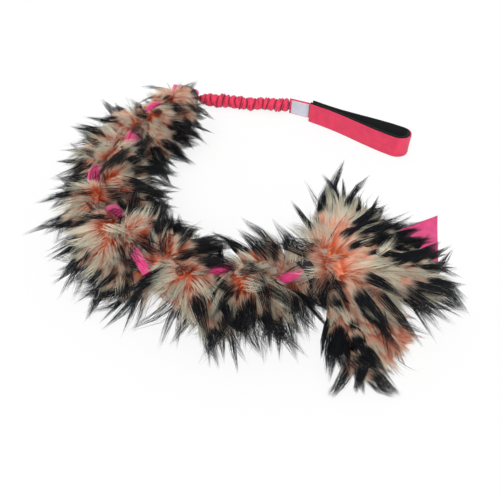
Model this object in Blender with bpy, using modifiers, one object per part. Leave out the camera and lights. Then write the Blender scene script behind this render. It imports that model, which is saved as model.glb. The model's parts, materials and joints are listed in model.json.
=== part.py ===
"""Tug toy: two faux fur strips and a fleece strip in a three-strand braid, with a bungee handle and a loose tassel.

The toy lies relaxed on the floor, in metres, +Z up. The handle is at the back, the tassel at the front.
"""
import math

import bmesh
import bpy
from mathutils import Vector

GAP = 0.0003  # clearance between pieces that touch
FLOOR_PRESS = 0.0020  # how far a soft piece is pressed flat where it rests

# Braid
BRAID_START = (-0.0947, 0.3125)
BRAID_START_HEADING = -109.0  # degrees from +X
BRAID_LAY = ((0.156, -8.0), (0.281, 88.0), (0.158, 73.0))  # (length, turn in degrees) of each stretch
BRAID_CROSSINGS = 20
BRAID_HALF_WIDTH = 0.037  # fur strip's centre from the braid's axis, sideways
FLEECE_HALF_WIDTH = 0.027  # the fleece runs nearer the middle
BRAID_HALF_HEIGHT = 0.0275
FLEECE_PHASE = 90.0  # degrees: the fleece starts at the left
STRIP_PHASE = 120.0  # degrees from one strip to the next
BOUND_LENGTH = 0.025  # strips lie straight side by side this far in from each end
GATHER_LENGTH = 0.044  # from there to the braid's full width
TWIST_LAG = 0.008  # the strips have parted this far before they start to cross
FATTEN_LAG = 2.5  # how far a strip's fattening lags behind its spreading
BOUND_HEIGHT = 0.030
STATION = 0.0080  # distance between the rings of a braided strip
FUR_RADIUS = 0.0120  # fur strip where another strip presses on it
FUR_LOBE_RADIUS = 0.0220  # fur strip where its pile puffs out at the side
LOBE_SHARPNESS = 4  # how quickly a lobe narrows towards the middle
FUR_BOUND_RADIUS = 0.0068
FLEECE_RADIUS = 0.0114
FLEECE_BOUND_RADIUS = 0.0062

# Whipping cord round the strips at each end of the braid
WHIP_CORD_RADIUS = 0.0013
WHIP_CLEARANCE = 0.0006  # allows for the bend of the strips inside
TOP_WHIP_TURNS = 5
TOP_WHIP_AT = 0.010  # middle of the whipping from the start of the braid
TAIL_WHIP_TURNS = 6
TAIL_WHIP_AT = 0.014  # middle of the whipping back from the tassel's hinge

# Bight: the fleece turns down through the eye of the strap
EYE_FROM_BRAID = (-0.0195, 0.0295)
BIGHT_FOOT = 0.0012
BIGHT_ENTRY = 0.0080  # the fleece runs straight this far before it joins the other strips
BIGHT_RIM_RADIUS = 0.0080  # the fleece where it is drawn over the eye's rim
EYE_CLEARANCE = 0.0008

# Strap, sleeve and bungee
BUNGEE_HEADING = -12.2
STRAP_WIDTH = 0.011
STRAP_THICKNESS = 0.0022
STRAP_REACH = 0.028  # eye centre to the hinge at the sleeve
SLEEVE_LENGTH = 0.152
SLEEVE_RADIUS = 0.0115  # at a gather
SLEEVE_FOLD_RADIUS = 0.0086  # between gathers
SLEEVE_END_RADIUS = 0.0052
SLEEVE_BORE_RADIUS = 0.0044
SLEEVE_GATHERS = 22
CORE_RADIUS = 0.0038

# Handle
NECK_TURN = -14.0  # degrees from the bungee's line
NECK_LENGTH = 0.0365
NECK_STRAIGHT = 0.85  # share of the neck before it bends to the loop
NECK_WIDTH = 0.025
NECK_THICKNESS = 0.0030
SEAM_LENGTH = 0.022  # neck webbing sewn in between the two ends of the loop
LOOP_TURN = -10.0  # degrees from the neck's line
LOOP_LENGTH = 0.155
LOOP_CLEAR_WIDTH = 0.024
LOOP_WEB_WIDTH = 0.030
LOOP_WEB_THICKNESS = 0.0017
LINING_WIDTH = 0.033
LINING_THICKNESS = 0.0030
LABEL_LENGTH = 0.029
LABEL_WIDTH = 0.022
LABEL_THICKNESS = 0.0006
LABEL_FROM_SLEEVE = 0.0035
THREAD_RADIUS = 0.0004
STITCH_INSET = 0.0030  # stitch line from the webbing's edge
LABEL_STITCH_INSET = 0.0012

# Tassel. The lower tail's root is a ball on the hinge, and the other tails start round it.
# Rows give: distance from the hinge, offset to the left, half width, half thickness, centre height.
BALL_RADIUS = 0.0096
UPPER_TAIL_HEADING = 6.5  # degrees from +X
UPPER_TAIL = (
    (0.0094, 0.0, 0.0040, 0.0030, BOUND_HEIGHT + 0.0066),
    (0.0260, 0.0, 0.0230, 0.0100, 0.0470),
    (0.0450, 0.0, 0.0420, 0.0200, 0.0530),
    (0.0700, 0.0, 0.0580, 0.0290, 0.0500),
    (0.1000, 0.0, 0.0640, 0.0290, 0.0420),
    (0.1180, 0.0, 0.0550, 0.0180, 0.0320),
    (0.1280, 0.0, 0.0400, 0.0080, 0.0220),
)
UPPER_TAIL_UNDERSIDE = 0.0075  # it lies on the fleece
LOWER_TAIL_HEADING = -57.7
LOWER_TAIL = (
    (0.0120, 0.0060, 0.0056, 0.0056, BOUND_HEIGHT - 0.0010),
    (0.0300, 0.0130, 0.0125, 0.0110, 0.0240),
    (0.0600, 0.0080, 0.0230, 0.0200, 0.0260),
    (0.0950, 0.0000, 0.0280, 0.0190, 0.0210),
    (0.1190, -0.0020, 0.0210, 0.0080, 0.0120),
)
FLEECE_TAIL_HEADING = 23.7
FLEECE_TAIL_LENGTH = 0.171
FLEECE_TAIL_WIDTH = 0.068
FLEECE_TAIL_SKEW = -38.0  # degrees that the cut end is off square
FLEECE_THICKNESS = 0.0040
FLEECE_TAIL = (
    (0.0094, 0.0, 0.0040, 0.0030, BOUND_HEIGHT - 0.0066),
    (0.0240, 0.0, 0.0100, 0.0045, 0.0130),
    (0.0550, 0.0, 0.0280, FLEECE_THICKNESS / 2, FLEECE_THICKNESS / 2 + 0.0010),
    (0.0750, 0.0, 0.0300, FLEECE_THICKNESS / 2, FLEECE_THICKNESS / 2 - FLOOR_PRESS / 2),
    (FLEECE_TAIL_LENGTH, 0.0, FLEECE_TAIL_WIDTH / 2, FLEECE_THICKNESS / 2, FLEECE_THICKNESS / 2 - FLOOR_PRESS / 2),
)

PALETTE = {
    "faux_fur": ((0.62, 0.47, 0.36), 0.95),
    "pink_fleece": ((0.85, 0.13, 0.36), 0.95),
    "pink_webbing": ((0.80, 0.06, 0.16), 0.55),
    "black_lining": ((0.012, 0.012, 0.014), 0.9),
    "label_cloth": ((0.80, 0.82, 0.85), 0.8),
    "pink_thread": ((0.78, 0.08, 0.20), 0.5),
    "white_thread": ((0.85, 0.85, 0.86), 0.6),
    "elastic": ((0.75, 0.74, 0.70), 0.7),
    "dark_cord": ((0.03, 0.03, 0.035), 0.8),
}


def clear_scene():
    for obj in list(bpy.data.objects):
        bpy.data.objects.remove(obj, do_unlink=True)


def collection(name):
    made = bpy.data.collections.new(name)
    bpy.context.scene.collection.children.link(made)
    return made


def material(name):
    made = bpy.data.materials.get(name)
    if made is None:
        colour, roughness = PALETTE[name]
        made = bpy.data.materials.new(name)
        made.use_nodes = True
        shader = made.node_tree.nodes["Principled BSDF"]
        shader.inputs["Base Color"].default_value = (*colour, 1.0)
        shader.inputs["Roughness"].default_value = roughness
        shader.inputs["Metallic"].default_value = 0.0
    return made


def direction(degrees):
    return Vector((math.cos(math.radians(degrees)), math.sin(math.radians(degrees)), 0.0))


def ease(share):
    share = min(1.0, max(0.0, share))
    return share * share * (3.0 - 2.0 * share)


def between(rows, at):
    """The row of numbers at a distance, smoothly between rows that start with their distance."""
    for low, high in zip(rows, rows[1:]):
        if at <= high[0]:
            share = ease((at - low[0]) / (high[0] - low[0]))
            return [a + (b - a) * share for a, b in zip(low, high)]
    return list(rows[-1])


def add_object(name, data, finish, parent, where, location=(0.0, 0.0, 0.0), turn=0.0):
    obj = bpy.data.objects.new(name, data)
    where.objects.link(obj)
    obj.parent = parent
    obj.location = location
    obj.rotation_euler.z = math.radians(turn)
    data.materials.clear()
    data.materials.append(material(finish))
    return obj


def joint_frame(name, where, location, turn=0.0, parent=None):
    frame = bpy.data.objects.new(name, None)
    frame.empty_display_size = 0.02
    where.objects.link(frame)
    frame.parent = parent
    frame.location = location
    frame.rotation_euler.z = math.radians(turn)
    return frame


def tube_curve(name, points, radii, bevel_resolution, cyclic=False):
    """A round tube along points; radii holds one radius, or one for each point."""
    if not hasattr(radii, "__len__"):
        radii = [radii] * len(points)
    curve = bpy.data.curves.new(name, "CURVE")
    curve.dimensions = "3D"
    curve.bevel_depth = max(radii)
    curve.bevel_resolution = bevel_resolution
    curve.use_fill_caps = not cyclic
    spline = curve.splines.new("POLY")
    spline.use_cyclic_u = cyclic
    spline.points.add(len(points) - 1)
    for target, point, radius in zip(spline.points, points, radii):
        target.co = (*point, 1.0)
        target.radius = radius / curve.bevel_depth
    return curve


def mesh_of(obj):
    """Turns a curve object into a welded mesh object of the same name and place."""
    bpy.context.view_layer.update()
    graph = bpy.context.evaluated_depsgraph_get()
    mesh = bpy.data.meshes.new_from_object(obj.evaluated_get(graph), depsgraph=graph)
    name, curve = obj.name, obj.data
    made = bpy.data.objects.new(name + "_mesh", mesh)
    for holder in obj.users_collection:
        holder.objects.link(made)
    made.parent = obj.parent
    made.matrix_world = obj.matrix_world
    bpy.data.objects.remove(obj)
    bpy.data.curves.remove(curve)
    made.name = name
    work = bmesh.new()
    work.from_mesh(mesh)
    bmesh.ops.remove_doubles(work, verts=work.verts, dist=1e-6)
    bmesh.ops.recalc_face_normals(work, faces=work.faces)
    work.to_mesh(mesh)
    work.free()
    return made


def press_flat(obj, height):
    """Flattens what reaches below a height, in the object's own frame, as a floor would."""
    for vertex in obj.data.vertices:
        vertex.co.z = max(vertex.co.z, height)


def smooth(obj, angle=50.0):
    obj.data.shade_smooth()
    obj.data.set_sharp_from_angle(angle=math.radians(angle))


def soft_tube(name, points, radii, finish, parent, where, bevel_resolution=3):
    """A soft strand: a tube whose underside lies flat on the floor."""
    curve = tube_curve(name, points, radii, bevel_resolution)
    made = mesh_of(add_object(name, curve, finish, parent, where))
    press_flat(made, 0.0)
    smooth(made)
    return made


def band_curve(name, path, thickness, width):
    """A strap on its edge: the path's band, this thick in plan, standing this wide."""
    near, far = [], []
    for index, point in enumerate(path):
        before = path[max(index - 1, 0)]
        after = path[min(index + 1, len(path) - 1)]
        along = (after - before).normalized()
        side = Vector((-along.y, along.x, 0.0)) * (thickness / 2)
        near.append(point - side)
        far.append(point + side)
    return outline_curve(name, [near + far[::-1]], width)


def outline_curve(name, outlines, height):
    """Flat closed outlines in XY, filled, with holes where one lies inside another, standing to a height."""
    curve = bpy.data.curves.new(name, "CURVE")
    curve.dimensions = "2D"
    curve.fill_mode = "BOTH"
    curve.extrude = height / 2
    for outline in outlines:
        spline = curve.splines.new("POLY")
        spline.use_cyclic_u = True
        spline.points.add(len(outline) - 1)
        for target, point in zip(spline.points, outline):
            target.co = (point[0], point[1], 0.0, 1.0)
    return curve


def loft_mesh(name, rings):
    """A closed skin over rings of equal count, with a flat cap at each end."""
    work = bmesh.new()
    loops = [[work.verts.new(point) for point in ring] for ring in rings]
    count = len(rings[0])
    for low, high in zip(loops, loops[1:]):
        for k in range(count):
            work.faces.new((low[k], low[(k + 1) % count], high[(k + 1) % count], high[k]))
    work.faces.new(loops[0][::-1])
    work.faces.new(loops[-1])
    bmesh.ops.recalc_face_normals(work, faces=work.faces)
    mesh = bpy.data.meshes.new(name)
    work.to_mesh(mesh)
    work.free()
    return mesh


def boolean(obj, other, operation, helpers):
    cut = obj.modifiers.new(operation.lower(), "BOOLEAN")
    cut.operation = operation
    cut.solver = "EXACT"
    cut.object = other
    other.hide_render = True
    other.display_type = "WIRE"
    for holder in list(other.users_collection):
        holder.objects.unlink(other)
    helpers.objects.link(other)


class BraidRoute:
    """The braid's axis on the floor: position, heading and curvature at a distance along it."""

    STEP = 0.001

    def __init__(self):
        self.length = sum(stretch for stretch, _ in BRAID_LAY)
        self.places = [Vector((*BRAID_START, 0.0))]
        self.headings = [BRAID_START_HEADING]
        count = round(self.length / self.STEP)
        self.step = self.length / count
        for index in range(count):
            turn = math.degrees(self.curvature(index * self.step) * self.step)
            self.headings.append(self.headings[-1] + turn)
            middle = (self.headings[-1] + self.headings[-2]) / 2
            self.places.append(self.places[-1] + direction(middle) * self.step)

    def curvature(self, at):
        """Turn in radians per metre, to the left."""
        for stretch, turn in BRAID_LAY:
            if at <= stretch:
                return math.radians(turn) / stretch
            at -= stretch
        return 0.0

    def place(self, at):
        index = min(max(at / self.step, 0.0), len(self.places) - 1)
        low = min(int(index), len(self.places) - 2)
        return self.places[low].lerp(self.places[low + 1], index - low)

    def heading(self, at):
        return self.headings[min(max(round(at / self.step), 0), len(self.headings) - 1)]


def looseness(route, at):
    """0 where the strips are bound at the ends, 1 where the braid has its full width."""
    return ease((min(at, route.length - at) - BOUND_LENGTH) / GATHER_LENGTH)


def axis_height(route, at):
    """Height of the braid's axis, which changes to the bindings' height at both ends."""
    middle = BRAID_HALF_HEIGHT + FUR_RADIUS - FLOOR_PRESS
    return BOUND_HEIGHT + (middle - BOUND_HEIGHT) * looseness(route, at)


def bundle_radius():
    """Circle on which the three bound strips' centres lie side by side."""
    return (FUR_BOUND_RADIUS + GAP) / math.cos(math.radians(30.0))


def strand_point(route, at, phase, half_width):
    """Centre of a braided strip, its distance to the left of the axis, and how far out it has swung."""
    still = BOUND_LENGTH + TWIST_LAG
    turning = route.length - 2 * still
    run = min(max(at - still, 0.0), turning)
    angle = math.radians(phase + 60.0 * BRAID_CROSSINGS * run / turning)
    loose = looseness(route, at)
    bound = bundle_radius()
    aside = (bound + (half_width - bound) * loose) * math.sin(angle)
    up = (bound + (BRAID_HALF_HEIGHT - bound) * loose) * math.sin(2 * angle)
    centre = route.place(at) + direction(route.heading(at) + 90.0) * aside
    centre.z = axis_height(route, at) + up
    return centre, aside, abs(math.sin(angle))


def strand(route, phase, half_width, narrow, bound, lobe=0.0):
    """Points and radii of one braided strip from binding to binding."""
    end = route.length - BALL_RADIUS - GAP
    count = round(end / STATION)
    points, radii = [], []
    for index in range(count + 1):
        at = end * index / count
        centre, aside, swing = strand_point(route, at, phase, half_width)
        room = 1.0 - max(0.0, route.curvature(at) * aside)
        full = narrow + max(0.0, lobe * room - narrow) * swing ** LOBE_SHARPNESS
        points.append(centre)
        radii.append(bound + (full - bound) * looseness(route, at) ** FATTEN_LAG)
    return points, radii


def fur_strand(route, phase):
    return strand(route, phase, BRAID_HALF_WIDTH, FUR_RADIUS, FUR_BOUND_RADIUS, FUR_LOBE_RADIUS)


def fleece_strand(route):
    return strand(route, FLEECE_PHASE, FLEECE_HALF_WIDTH, FLEECE_RADIUS, FLEECE_BOUND_RADIUS)


def eye_centre(route):
    return route.place(0.0) + Vector((*EYE_FROM_BRAID, 0.0))


def bight(route, first):
    """The fleece from its foot, up through the strap's eye and over its rim to the braid."""
    eye = eye_centre(route)
    toward = (Vector((first.x, first.y, 0.0)) - eye).normalized()
    rim = eye + toward * (FLEECE_RADIUS + EYE_CLEARANCE + STRAP_THICKNESS / 2)
    rim.z = SLEEVE_RADIUS + STRAP_WIDTH / 2 + BIGHT_RIM_RADIUS + 2 * GAP
    shoulder = Vector((eye.x, eye.y, rim.z - 0.0015))
    foot = [Vector((eye.x, eye.y, z)) for z in (BIGHT_FOOT, SLEEVE_RADIUS)]
    entry = first - direction(BRAID_START_HEADING) * BIGHT_ENTRY
    radii = [FLEECE_RADIUS, FLEECE_RADIUS, FLEECE_RADIUS * 0.9, BIGHT_RIM_RADIUS, FLEECE_BOUND_RADIUS]
    return foot + [shoulder, rim, entry], radii


def build_strips(route, parent, where):
    for name, place in (("fur_strip_lower", 1), ("fur_strip_upper", 2)):
        points, radii = fur_strand(route, FLEECE_PHASE + STRIP_PHASE * place)
        soft_tube(name, points, radii, "faux_fur", parent, where)
    points, radii = fleece_strand(route)
    first_points, first_radii = bight(route, points[0])
    soft_tube("fleece_strip", first_points + points, first_radii + radii, "pink_fleece", parent, where)


def build_whipping(name, route, at, turns, parent, where):
    """Cord wound round the three bound strips: a ring with a rib for each turn."""
    inner = bundle_radius() + FUR_BOUND_RADIUS + WHIP_CLEARANCE
    half = turns * WHIP_CORD_RADIUS
    profile = [(inner, half)]
    for turn in range(turns):
        middle = half - WHIP_CORD_RADIUS * (2 * turn + 1)
        for angle in (60, 0, -60):
            swing = math.radians(angle)
            bulge = inner + WHIP_CORD_RADIUS * (1 + math.cos(swing))
            profile.append((bulge, middle + WHIP_CORD_RADIUS * math.sin(swing)))
    profile.append((inner, -half))
    work = bmesh.new()
    verts = [work.verts.new((radius, 0.0, z)) for radius, z in profile]
    for index, vert in enumerate(verts):
        work.edges.new((vert, verts[(index + 1) % len(verts)]))
    mesh = bpy.data.meshes.new(name)
    work.to_mesh(mesh)
    work.free()
    ring = add_object(name, mesh, "dark_cord", parent, where)
    turned = ring.modifiers.new("turned", "SCREW")
    turned.axis = "Z"
    turned.steps = turned.render_steps = 20
    turned.use_merge_vertices = True
    turned.merge_threshold = 0.00005
    ring.location = route.place(at) + Vector((0.0, 0.0, axis_height(route, at)))
    ring.rotation_euler = direction(route.heading(at)).to_track_quat("Z", "Y").to_euler()
    return ring


def build_strap(frame, where, helpers):
    """Webbing strap with an eye round the bight; the tongue's end is rounded about the sleeve's hinge."""
    eye_inner = FLEECE_RADIUS + EYE_CLEARANCE
    eye_outer = eye_inner + STRAP_THICKNESS
    circle = [direction(k * 360 / 24) for k in range(24)]
    eye = outline_curve("strap_eye", [[p * eye_outer for p in circle], [p * eye_inner for p in circle]], STRAP_WIDTH)
    strap = mesh_of(add_object("strap_loop", eye, "pink_webbing", frame, where))
    start = (eye_inner + eye_outer) / 2
    round_end = [direction(angle) * (STRAP_WIDTH / 2) for angle in range(-90, 91, 15)]
    side = [Vector((STRAP_REACH, 0.0, 0.0)) + p for p in round_end]
    side = [Vector((start, -STRAP_WIDTH / 2, 0.0))] + side + [Vector((start, STRAP_WIDTH / 2, 0.0))]
    tongue = outline_curve("strap_tongue", [side], 2 * STRAP_THICKNESS)
    tongue = mesh_of(add_object("strap_tongue", tongue, "pink_webbing", frame, where))
    tongue.rotation_euler.x = math.radians(90.0)
    boolean(strap, tongue, "UNION", helpers)
    return strap


def zigzag(x, y, half_height, half_width, count):
    """A bar tack: thread to and fro across a strip, in the plane y."""
    points = []
    for index in range(count):
        points.append(
            Vector((x + half_width * (2 * index / (count - 1) - 1), y, half_height * (1 - 2 * (index % 2))))
        )
    return points


def thread(name, points, parent, where, finish="pink_thread", cyclic=False, location=(0, 0, 0), turn=0.0):
    curve = tube_curve(name, points, THREAD_RADIUS, 1, cyclic)
    return add_object(name, curve, finish, parent, where, location, turn)


def build_strap_tack(frame, where):
    face = -(STRAP_THICKNESS + GAP + THREAD_RADIUS)
    middle = (FLEECE_RADIUS + STRAP_REACH) / 2 + STRAP_THICKNESS
    thread("strap_bar_tack", zigzag(middle, face, STRAP_WIDTH * 0.36, 0.004, 9), frame, where)


def line_rise(x):
    """How far the bungee's centre has risen: it lies on the floor and comes up to the standing handle."""
    return (LINING_WIDTH / 2 - SLEEVE_RADIUS) * ease((x / SLEEVE_LENGTH - 0.45) / 0.5)


def on_line(xs):
    return [Vector((x, 0.0, line_rise(x))) for x in xs]


def build_sleeve(frame, where, helpers):
    """Webbing tube gathered along the elastic: fat gathers with tight folds between."""
    start = STRAP_WIDTH / 2 + GAP
    first = start + 0.005
    pitch = (SLEEVE_LENGTH - 0.001 - first) / SLEEVE_GATHERS
    xs = [start, start + 0.004]
    radii = [SLEEVE_END_RADIUS, SLEEVE_END_RADIUS]
    for index in range(SLEEVE_GATHERS):
        swell = 0.86 + 0.14 * math.sin(index * 2.4)
        xs += [first + pitch * (index + share) for share in (0.25, 0.75)]
        radii += [SLEEVE_RADIUS * swell, SLEEVE_FOLD_RADIUS * (0.9 + 0.1 * swell)]
    xs.append(SLEEVE_LENGTH)
    radii.append(SLEEVE_FOLD_RADIUS)
    tube = tube_curve("ruched_sleeve", on_line(xs), radii, 3)
    sleeve = mesh_of(add_object("ruched_sleeve", tube, "pink_webbing", frame, where))
    inside = [-0.01 + (SLEEVE_LENGTH + 0.02) * k / 10 for k in range(11)]
    tube = tube_curve("sleeve_bore", on_line(inside), SLEEVE_BORE_RADIUS, 3)
    bore = mesh_of(add_object("sleeve_bore", tube, "pink_webbing", frame, where))
    boolean(sleeve, bore, "DIFFERENCE", helpers)
    inside = [start + (SLEEVE_LENGTH - start) * k / 9 for k in range(10)]
    tube = tube_curve("elastic_core", on_line(inside), CORE_RADIUS, 3)
    add_object("elastic_core", tube, "elastic", frame, where)


def neck_start():
    """The neck's first point, clear of the sleeve by the gap at its slanted end too."""
    slant = NECK_THICKNESS / 2 * abs(math.sin(math.radians(NECK_TURN)))
    return Vector((GAP + slant, 0.0, 0.0))


def neck_points():
    """Centre of the neck webbing, from the sleeve's end to where the loop's seam starts."""
    points = [neck_start()]
    steps = 10
    for index in range(steps):
        share = (index + 0.5) / steps
        heading = NECK_TURN + LOOP_TURN * ease((share - NECK_STRAIGHT) / (1 - NECK_STRAIGHT) * 2)
        points.append(points[-1] + direction(heading) * (NECK_LENGTH / steps))
    return points


def loop_path(layer):
    """Teardrop of the loop at one layer, measured outwards from the clear gap's edge; +X to the tip."""
    tip_radius = LOOP_CLEAR_WIDTH / 2 + layer
    at_seam = NECK_THICKNESS / 2 + GAP + layer
    straight = LOOP_LENGTH - LOOP_CLEAR_WIDTH / 2
    arm = []
    steps = 14
    for index in range(steps):
        x = straight * index / steps
        share = (1 - math.cos(math.pi * max(0.0, x - SEAM_LENGTH) / (straight - SEAM_LENGTH))) / 2
        arm.append(Vector((x, at_seam + (tip_radius - at_seam) * share, 0.0)))
    turn = [Vector((straight, 0.0, 0.0)) + direction(90 - 15 * k) * tip_radius for k in range(13)]
    back = [Vector((p.x, -p.y, 0.0)) for p in reversed(arm)]
    return arm + turn + back


def build_handle(neck_frame, loop_frame, where):
    seam = [neck_points()[-1] + direction(NECK_TURN + LOOP_TURN) * (SEAM_LENGTH * k / 4) for k in range(1, 5)]
    neck = band_curve("neck_webbing", neck_points() + seam, NECK_THICKNESS, NECK_WIDTH)
    add_object("neck_webbing", neck, "pink_webbing", neck_frame, where)
    lining = band_curve("handle_lining", loop_path(LINING_THICKNESS / 2), LINING_THICKNESS, LINING_WIDTH)
    add_object("handle_lining", lining, "black_lining", loop_frame, where)
    web_middle = LINING_THICKNESS + GAP + LOOP_WEB_THICKNESS / 2
    web = band_curve("handle_webbing", loop_path(web_middle), LOOP_WEB_THICKNESS, LOOP_WEB_WIDTH)
    add_object("handle_webbing", web, "pink_webbing", loop_frame, where)
    outside = web_middle + LOOP_WEB_THICKNESS / 2 + GAP + THREAD_RADIUS
    for name, side in (("edge_stitch_top", 1), ("edge_stitch_bottom", -1)):
        height = Vector((0.0, 0.0, side * (LOOP_WEB_WIDTH / 2 - STITCH_INSET)))
        thread(name, [p + height for p in loop_path(outside)], loop_frame, where)


def rectangle(low, high, face, half_height):
    """Corners of an upright rectangle in the plane y = face."""
    corners = ((low, half_height), (high, half_height), (high, -half_height), (low, -half_height))
    return [Vector((x, face, z)) for x, z in corners]


def build_seam_stitch(loop_frame, where):
    """Square of thread through the loop's seam, on the near face."""
    layers = NECK_THICKNESS / 2 + GAP + LINING_THICKNESS + GAP + LOOP_WEB_THICKNESS
    half = LOOP_WEB_WIDTH / 2 - 2 * STITCH_INSET
    points = rectangle(STITCH_INSET, SEAM_LENGTH - STITCH_INSET, -(layers + GAP + THREAD_RADIUS), half)
    thread("seam_box_stitch", points, loop_frame, where, cyclic=True)


def build_label(neck_frame, where):
    """Cloth label on the neck's near face, bare, with a row of thread round it."""
    low, high = LABEL_FROM_SLEEVE, LABEL_FROM_SLEEVE + LABEL_LENGTH
    inner = -(NECK_THICKNESS / 2 + GAP)
    outline = [(low, inner), (high, inner), (high, inner - LABEL_THICKNESS), (low, inner - LABEL_THICKNESS)]
    curve = outline_curve("label", [outline], LABEL_WIDTH)
    add_object("label", curve, "label_cloth", neck_frame, where, neck_start(), NECK_TURN)
    face = inner - LABEL_THICKNESS - GAP - THREAD_RADIUS
    inset = LABEL_STITCH_INSET
    points = rectangle(low + inset, high - inset, face, LABEL_WIDTH / 2 - inset)
    thread("label_stitch", points, neck_frame, where, "white_thread", True, neck_start(), NECK_TURN)


def build_neck_tack(neck_frame, where):
    """Bar tack that holds the sleeve's end and the elastic to the neck."""
    face = -(NECK_THICKNESS / 2 + GAP + THREAD_RADIUS)
    points = zigzag(LABEL_FROM_SLEEVE / 2, face, NECK_WIDTH * 0.4, 0.0012, 5)
    thread("neck_bar_tack", points, neck_frame, where, location=neck_start(), turn=NECK_TURN)


def tail_ring(row, heading, underside, sides, skew=0.0):
    """One oval section of a tail, from the hinge, square to its heading and pressed flat underneath."""
    ahead, aside, half_width, half_thickness, height = row
    middle = direction(heading) * ahead + direction(heading + 90.0) * aside
    across = direction(heading + 90.0 + skew) / math.cos(math.radians(skew))
    ring = []
    for k in range(sides):
        angle = 2 * math.pi * (k + 0.5) / sides
        point = middle + across * (half_width * math.cos(angle))
        point.z = max(height + half_thickness * math.sin(angle), underside) - BOUND_HEIGHT
        ring.append(point)
    return ring


def tail_stations(rows, count):
    return [rows[0][0] + (rows[-1][0] - rows[0][0]) * index / (count - 1) for index in range(count)]


def build_fur_tail(name, rows, heading, underside, frame, where, root=()):
    """A fur tail that fans out from the binding; root holds extra sections before its rows."""
    sections = list(root) + [between(rows, at) for at in tail_stations(rows, 12)]
    rings = [tail_ring(row, heading, underside, 16) for row in sections]
    smooth(add_object(name, loft_mesh(name, rings), "faux_fur", frame, where))


def ball_sections():
    """Sections of the ball on the tassel's hinge, from its back to where the tail leaves it."""
    rows = []
    for angle in (-80, -60, -40, -20, 0, 20, 40):
        swing = math.radians(angle)
        radius = BALL_RADIUS * math.cos(swing)
        rows.append((BALL_RADIUS * math.sin(swing), 0.0, radius, radius, BOUND_HEIGHT))
    return rows


def build_fleece_tail(frame, where):
    """The fleece's end: a bunched root that opens into a flat strip with a slanting cut end."""
    rings = []
    for at in tail_stations(FLEECE_TAIL, 16):
        skew = FLEECE_TAIL_SKEW * ease(at / FLEECE_TAIL_LENGTH)
        rings.append(tail_ring(between(FLEECE_TAIL, at), FLEECE_TAIL_HEADING, 0.0, 12, skew))
    mesh = loft_mesh("fleece_tail", rings)
    smooth(add_object("fleece_tail", mesh, "pink_fleece", frame, where))


def build_tassel(tassel_frame, upper_frame, where):
    build_fur_tail("fur_tail_upper", UPPER_TAIL, UPPER_TAIL_HEADING, UPPER_TAIL_UNDERSIDE, upper_frame, where)
    build_fur_tail("fur_tail_lower", LOWER_TAIL, LOWER_TAIL_HEADING, 0.0, tassel_frame, where, ball_sections())
    build_fleece_tail(tassel_frame, where)


def centre_on_floor(toy, where):
    """Moves the whole toy so that its box is centred on the origin, seen from above."""
    bpy.context.view_layer.update()
    graph = bpy.context.evaluated_depsgraph_get()
    corners = []
    for obj in where.objects:
        if obj.type != "EMPTY" and not obj.hide_render:
            seen = obj.evaluated_get(graph)
            mesh = seen.to_mesh()
            corners += [seen.matrix_world @ vertex.co for vertex in mesh.vertices]
            seen.to_mesh_clear()
    low = [min(c[axis] for c in corners) for axis in range(2)]
    high = [max(c[axis] for c in corners) for axis in range(2)]
    toy.location = (-(low[0] + high[0]) / 2, -(low[1] + high[1]) / 2, 0.0)
    bpy.context.view_layer.update()


def main():
    clear_scene()
    parts = collection("braided_tug_toy")
    helpers = collection("helpers")
    route = BraidRoute()

    toy = joint_frame("toy", parts, (0.0, 0.0, 0.0))
    eye = eye_centre(route) + Vector((0.0, 0.0, SLEEVE_RADIUS))
    strap_swing = joint_frame("strap_swing", parts, eye, BUNGEE_HEADING, toy)
    bungee_lift = joint_frame("bungee_lift", parts, (STRAP_REACH, 0.0, 0.0), 0.0, strap_swing)
    sleeve_end = (SLEEVE_LENGTH, 0.0, line_rise(SLEEVE_LENGTH))
    bungee_stretch = joint_frame("bungee_stretch", parts, sleeve_end, 0.0, bungee_lift)
    loop_frame = joint_frame("loop_frame", parts, neck_points()[-1], NECK_TURN + LOOP_TURN, bungee_stretch)
    binding = route.place(route.length) + Vector((0.0, 0.0, BOUND_HEIGHT))
    tassel_swing = joint_frame("tassel_swing", parts, binding, 0.0, toy)
    upper_tail_lift = joint_frame("upper_tail_lift", parts, (0.0, 0.0, 0.0), 0.0, tassel_swing)

    build_strips(route, toy, parts)
    build_whipping("top_whipping", route, TOP_WHIP_AT, TOP_WHIP_TURNS, toy, parts)
    build_whipping("tail_whipping", route, route.length - TAIL_WHIP_AT, TAIL_WHIP_TURNS, toy, parts)
    build_strap(strap_swing, parts, helpers)
    build_strap_tack(strap_swing, parts)
    build_sleeve(bungee_lift, parts, helpers)
    build_handle(bungee_stretch, loop_frame, parts)
    build_label(bungee_stretch, parts)
    build_neck_tack(bungee_stretch, parts)
    build_seam_stitch(loop_frame, parts)
    build_tassel(tassel_swing, upper_tail_lift, parts)
    centre_on_floor(toy, parts)


main()
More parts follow.
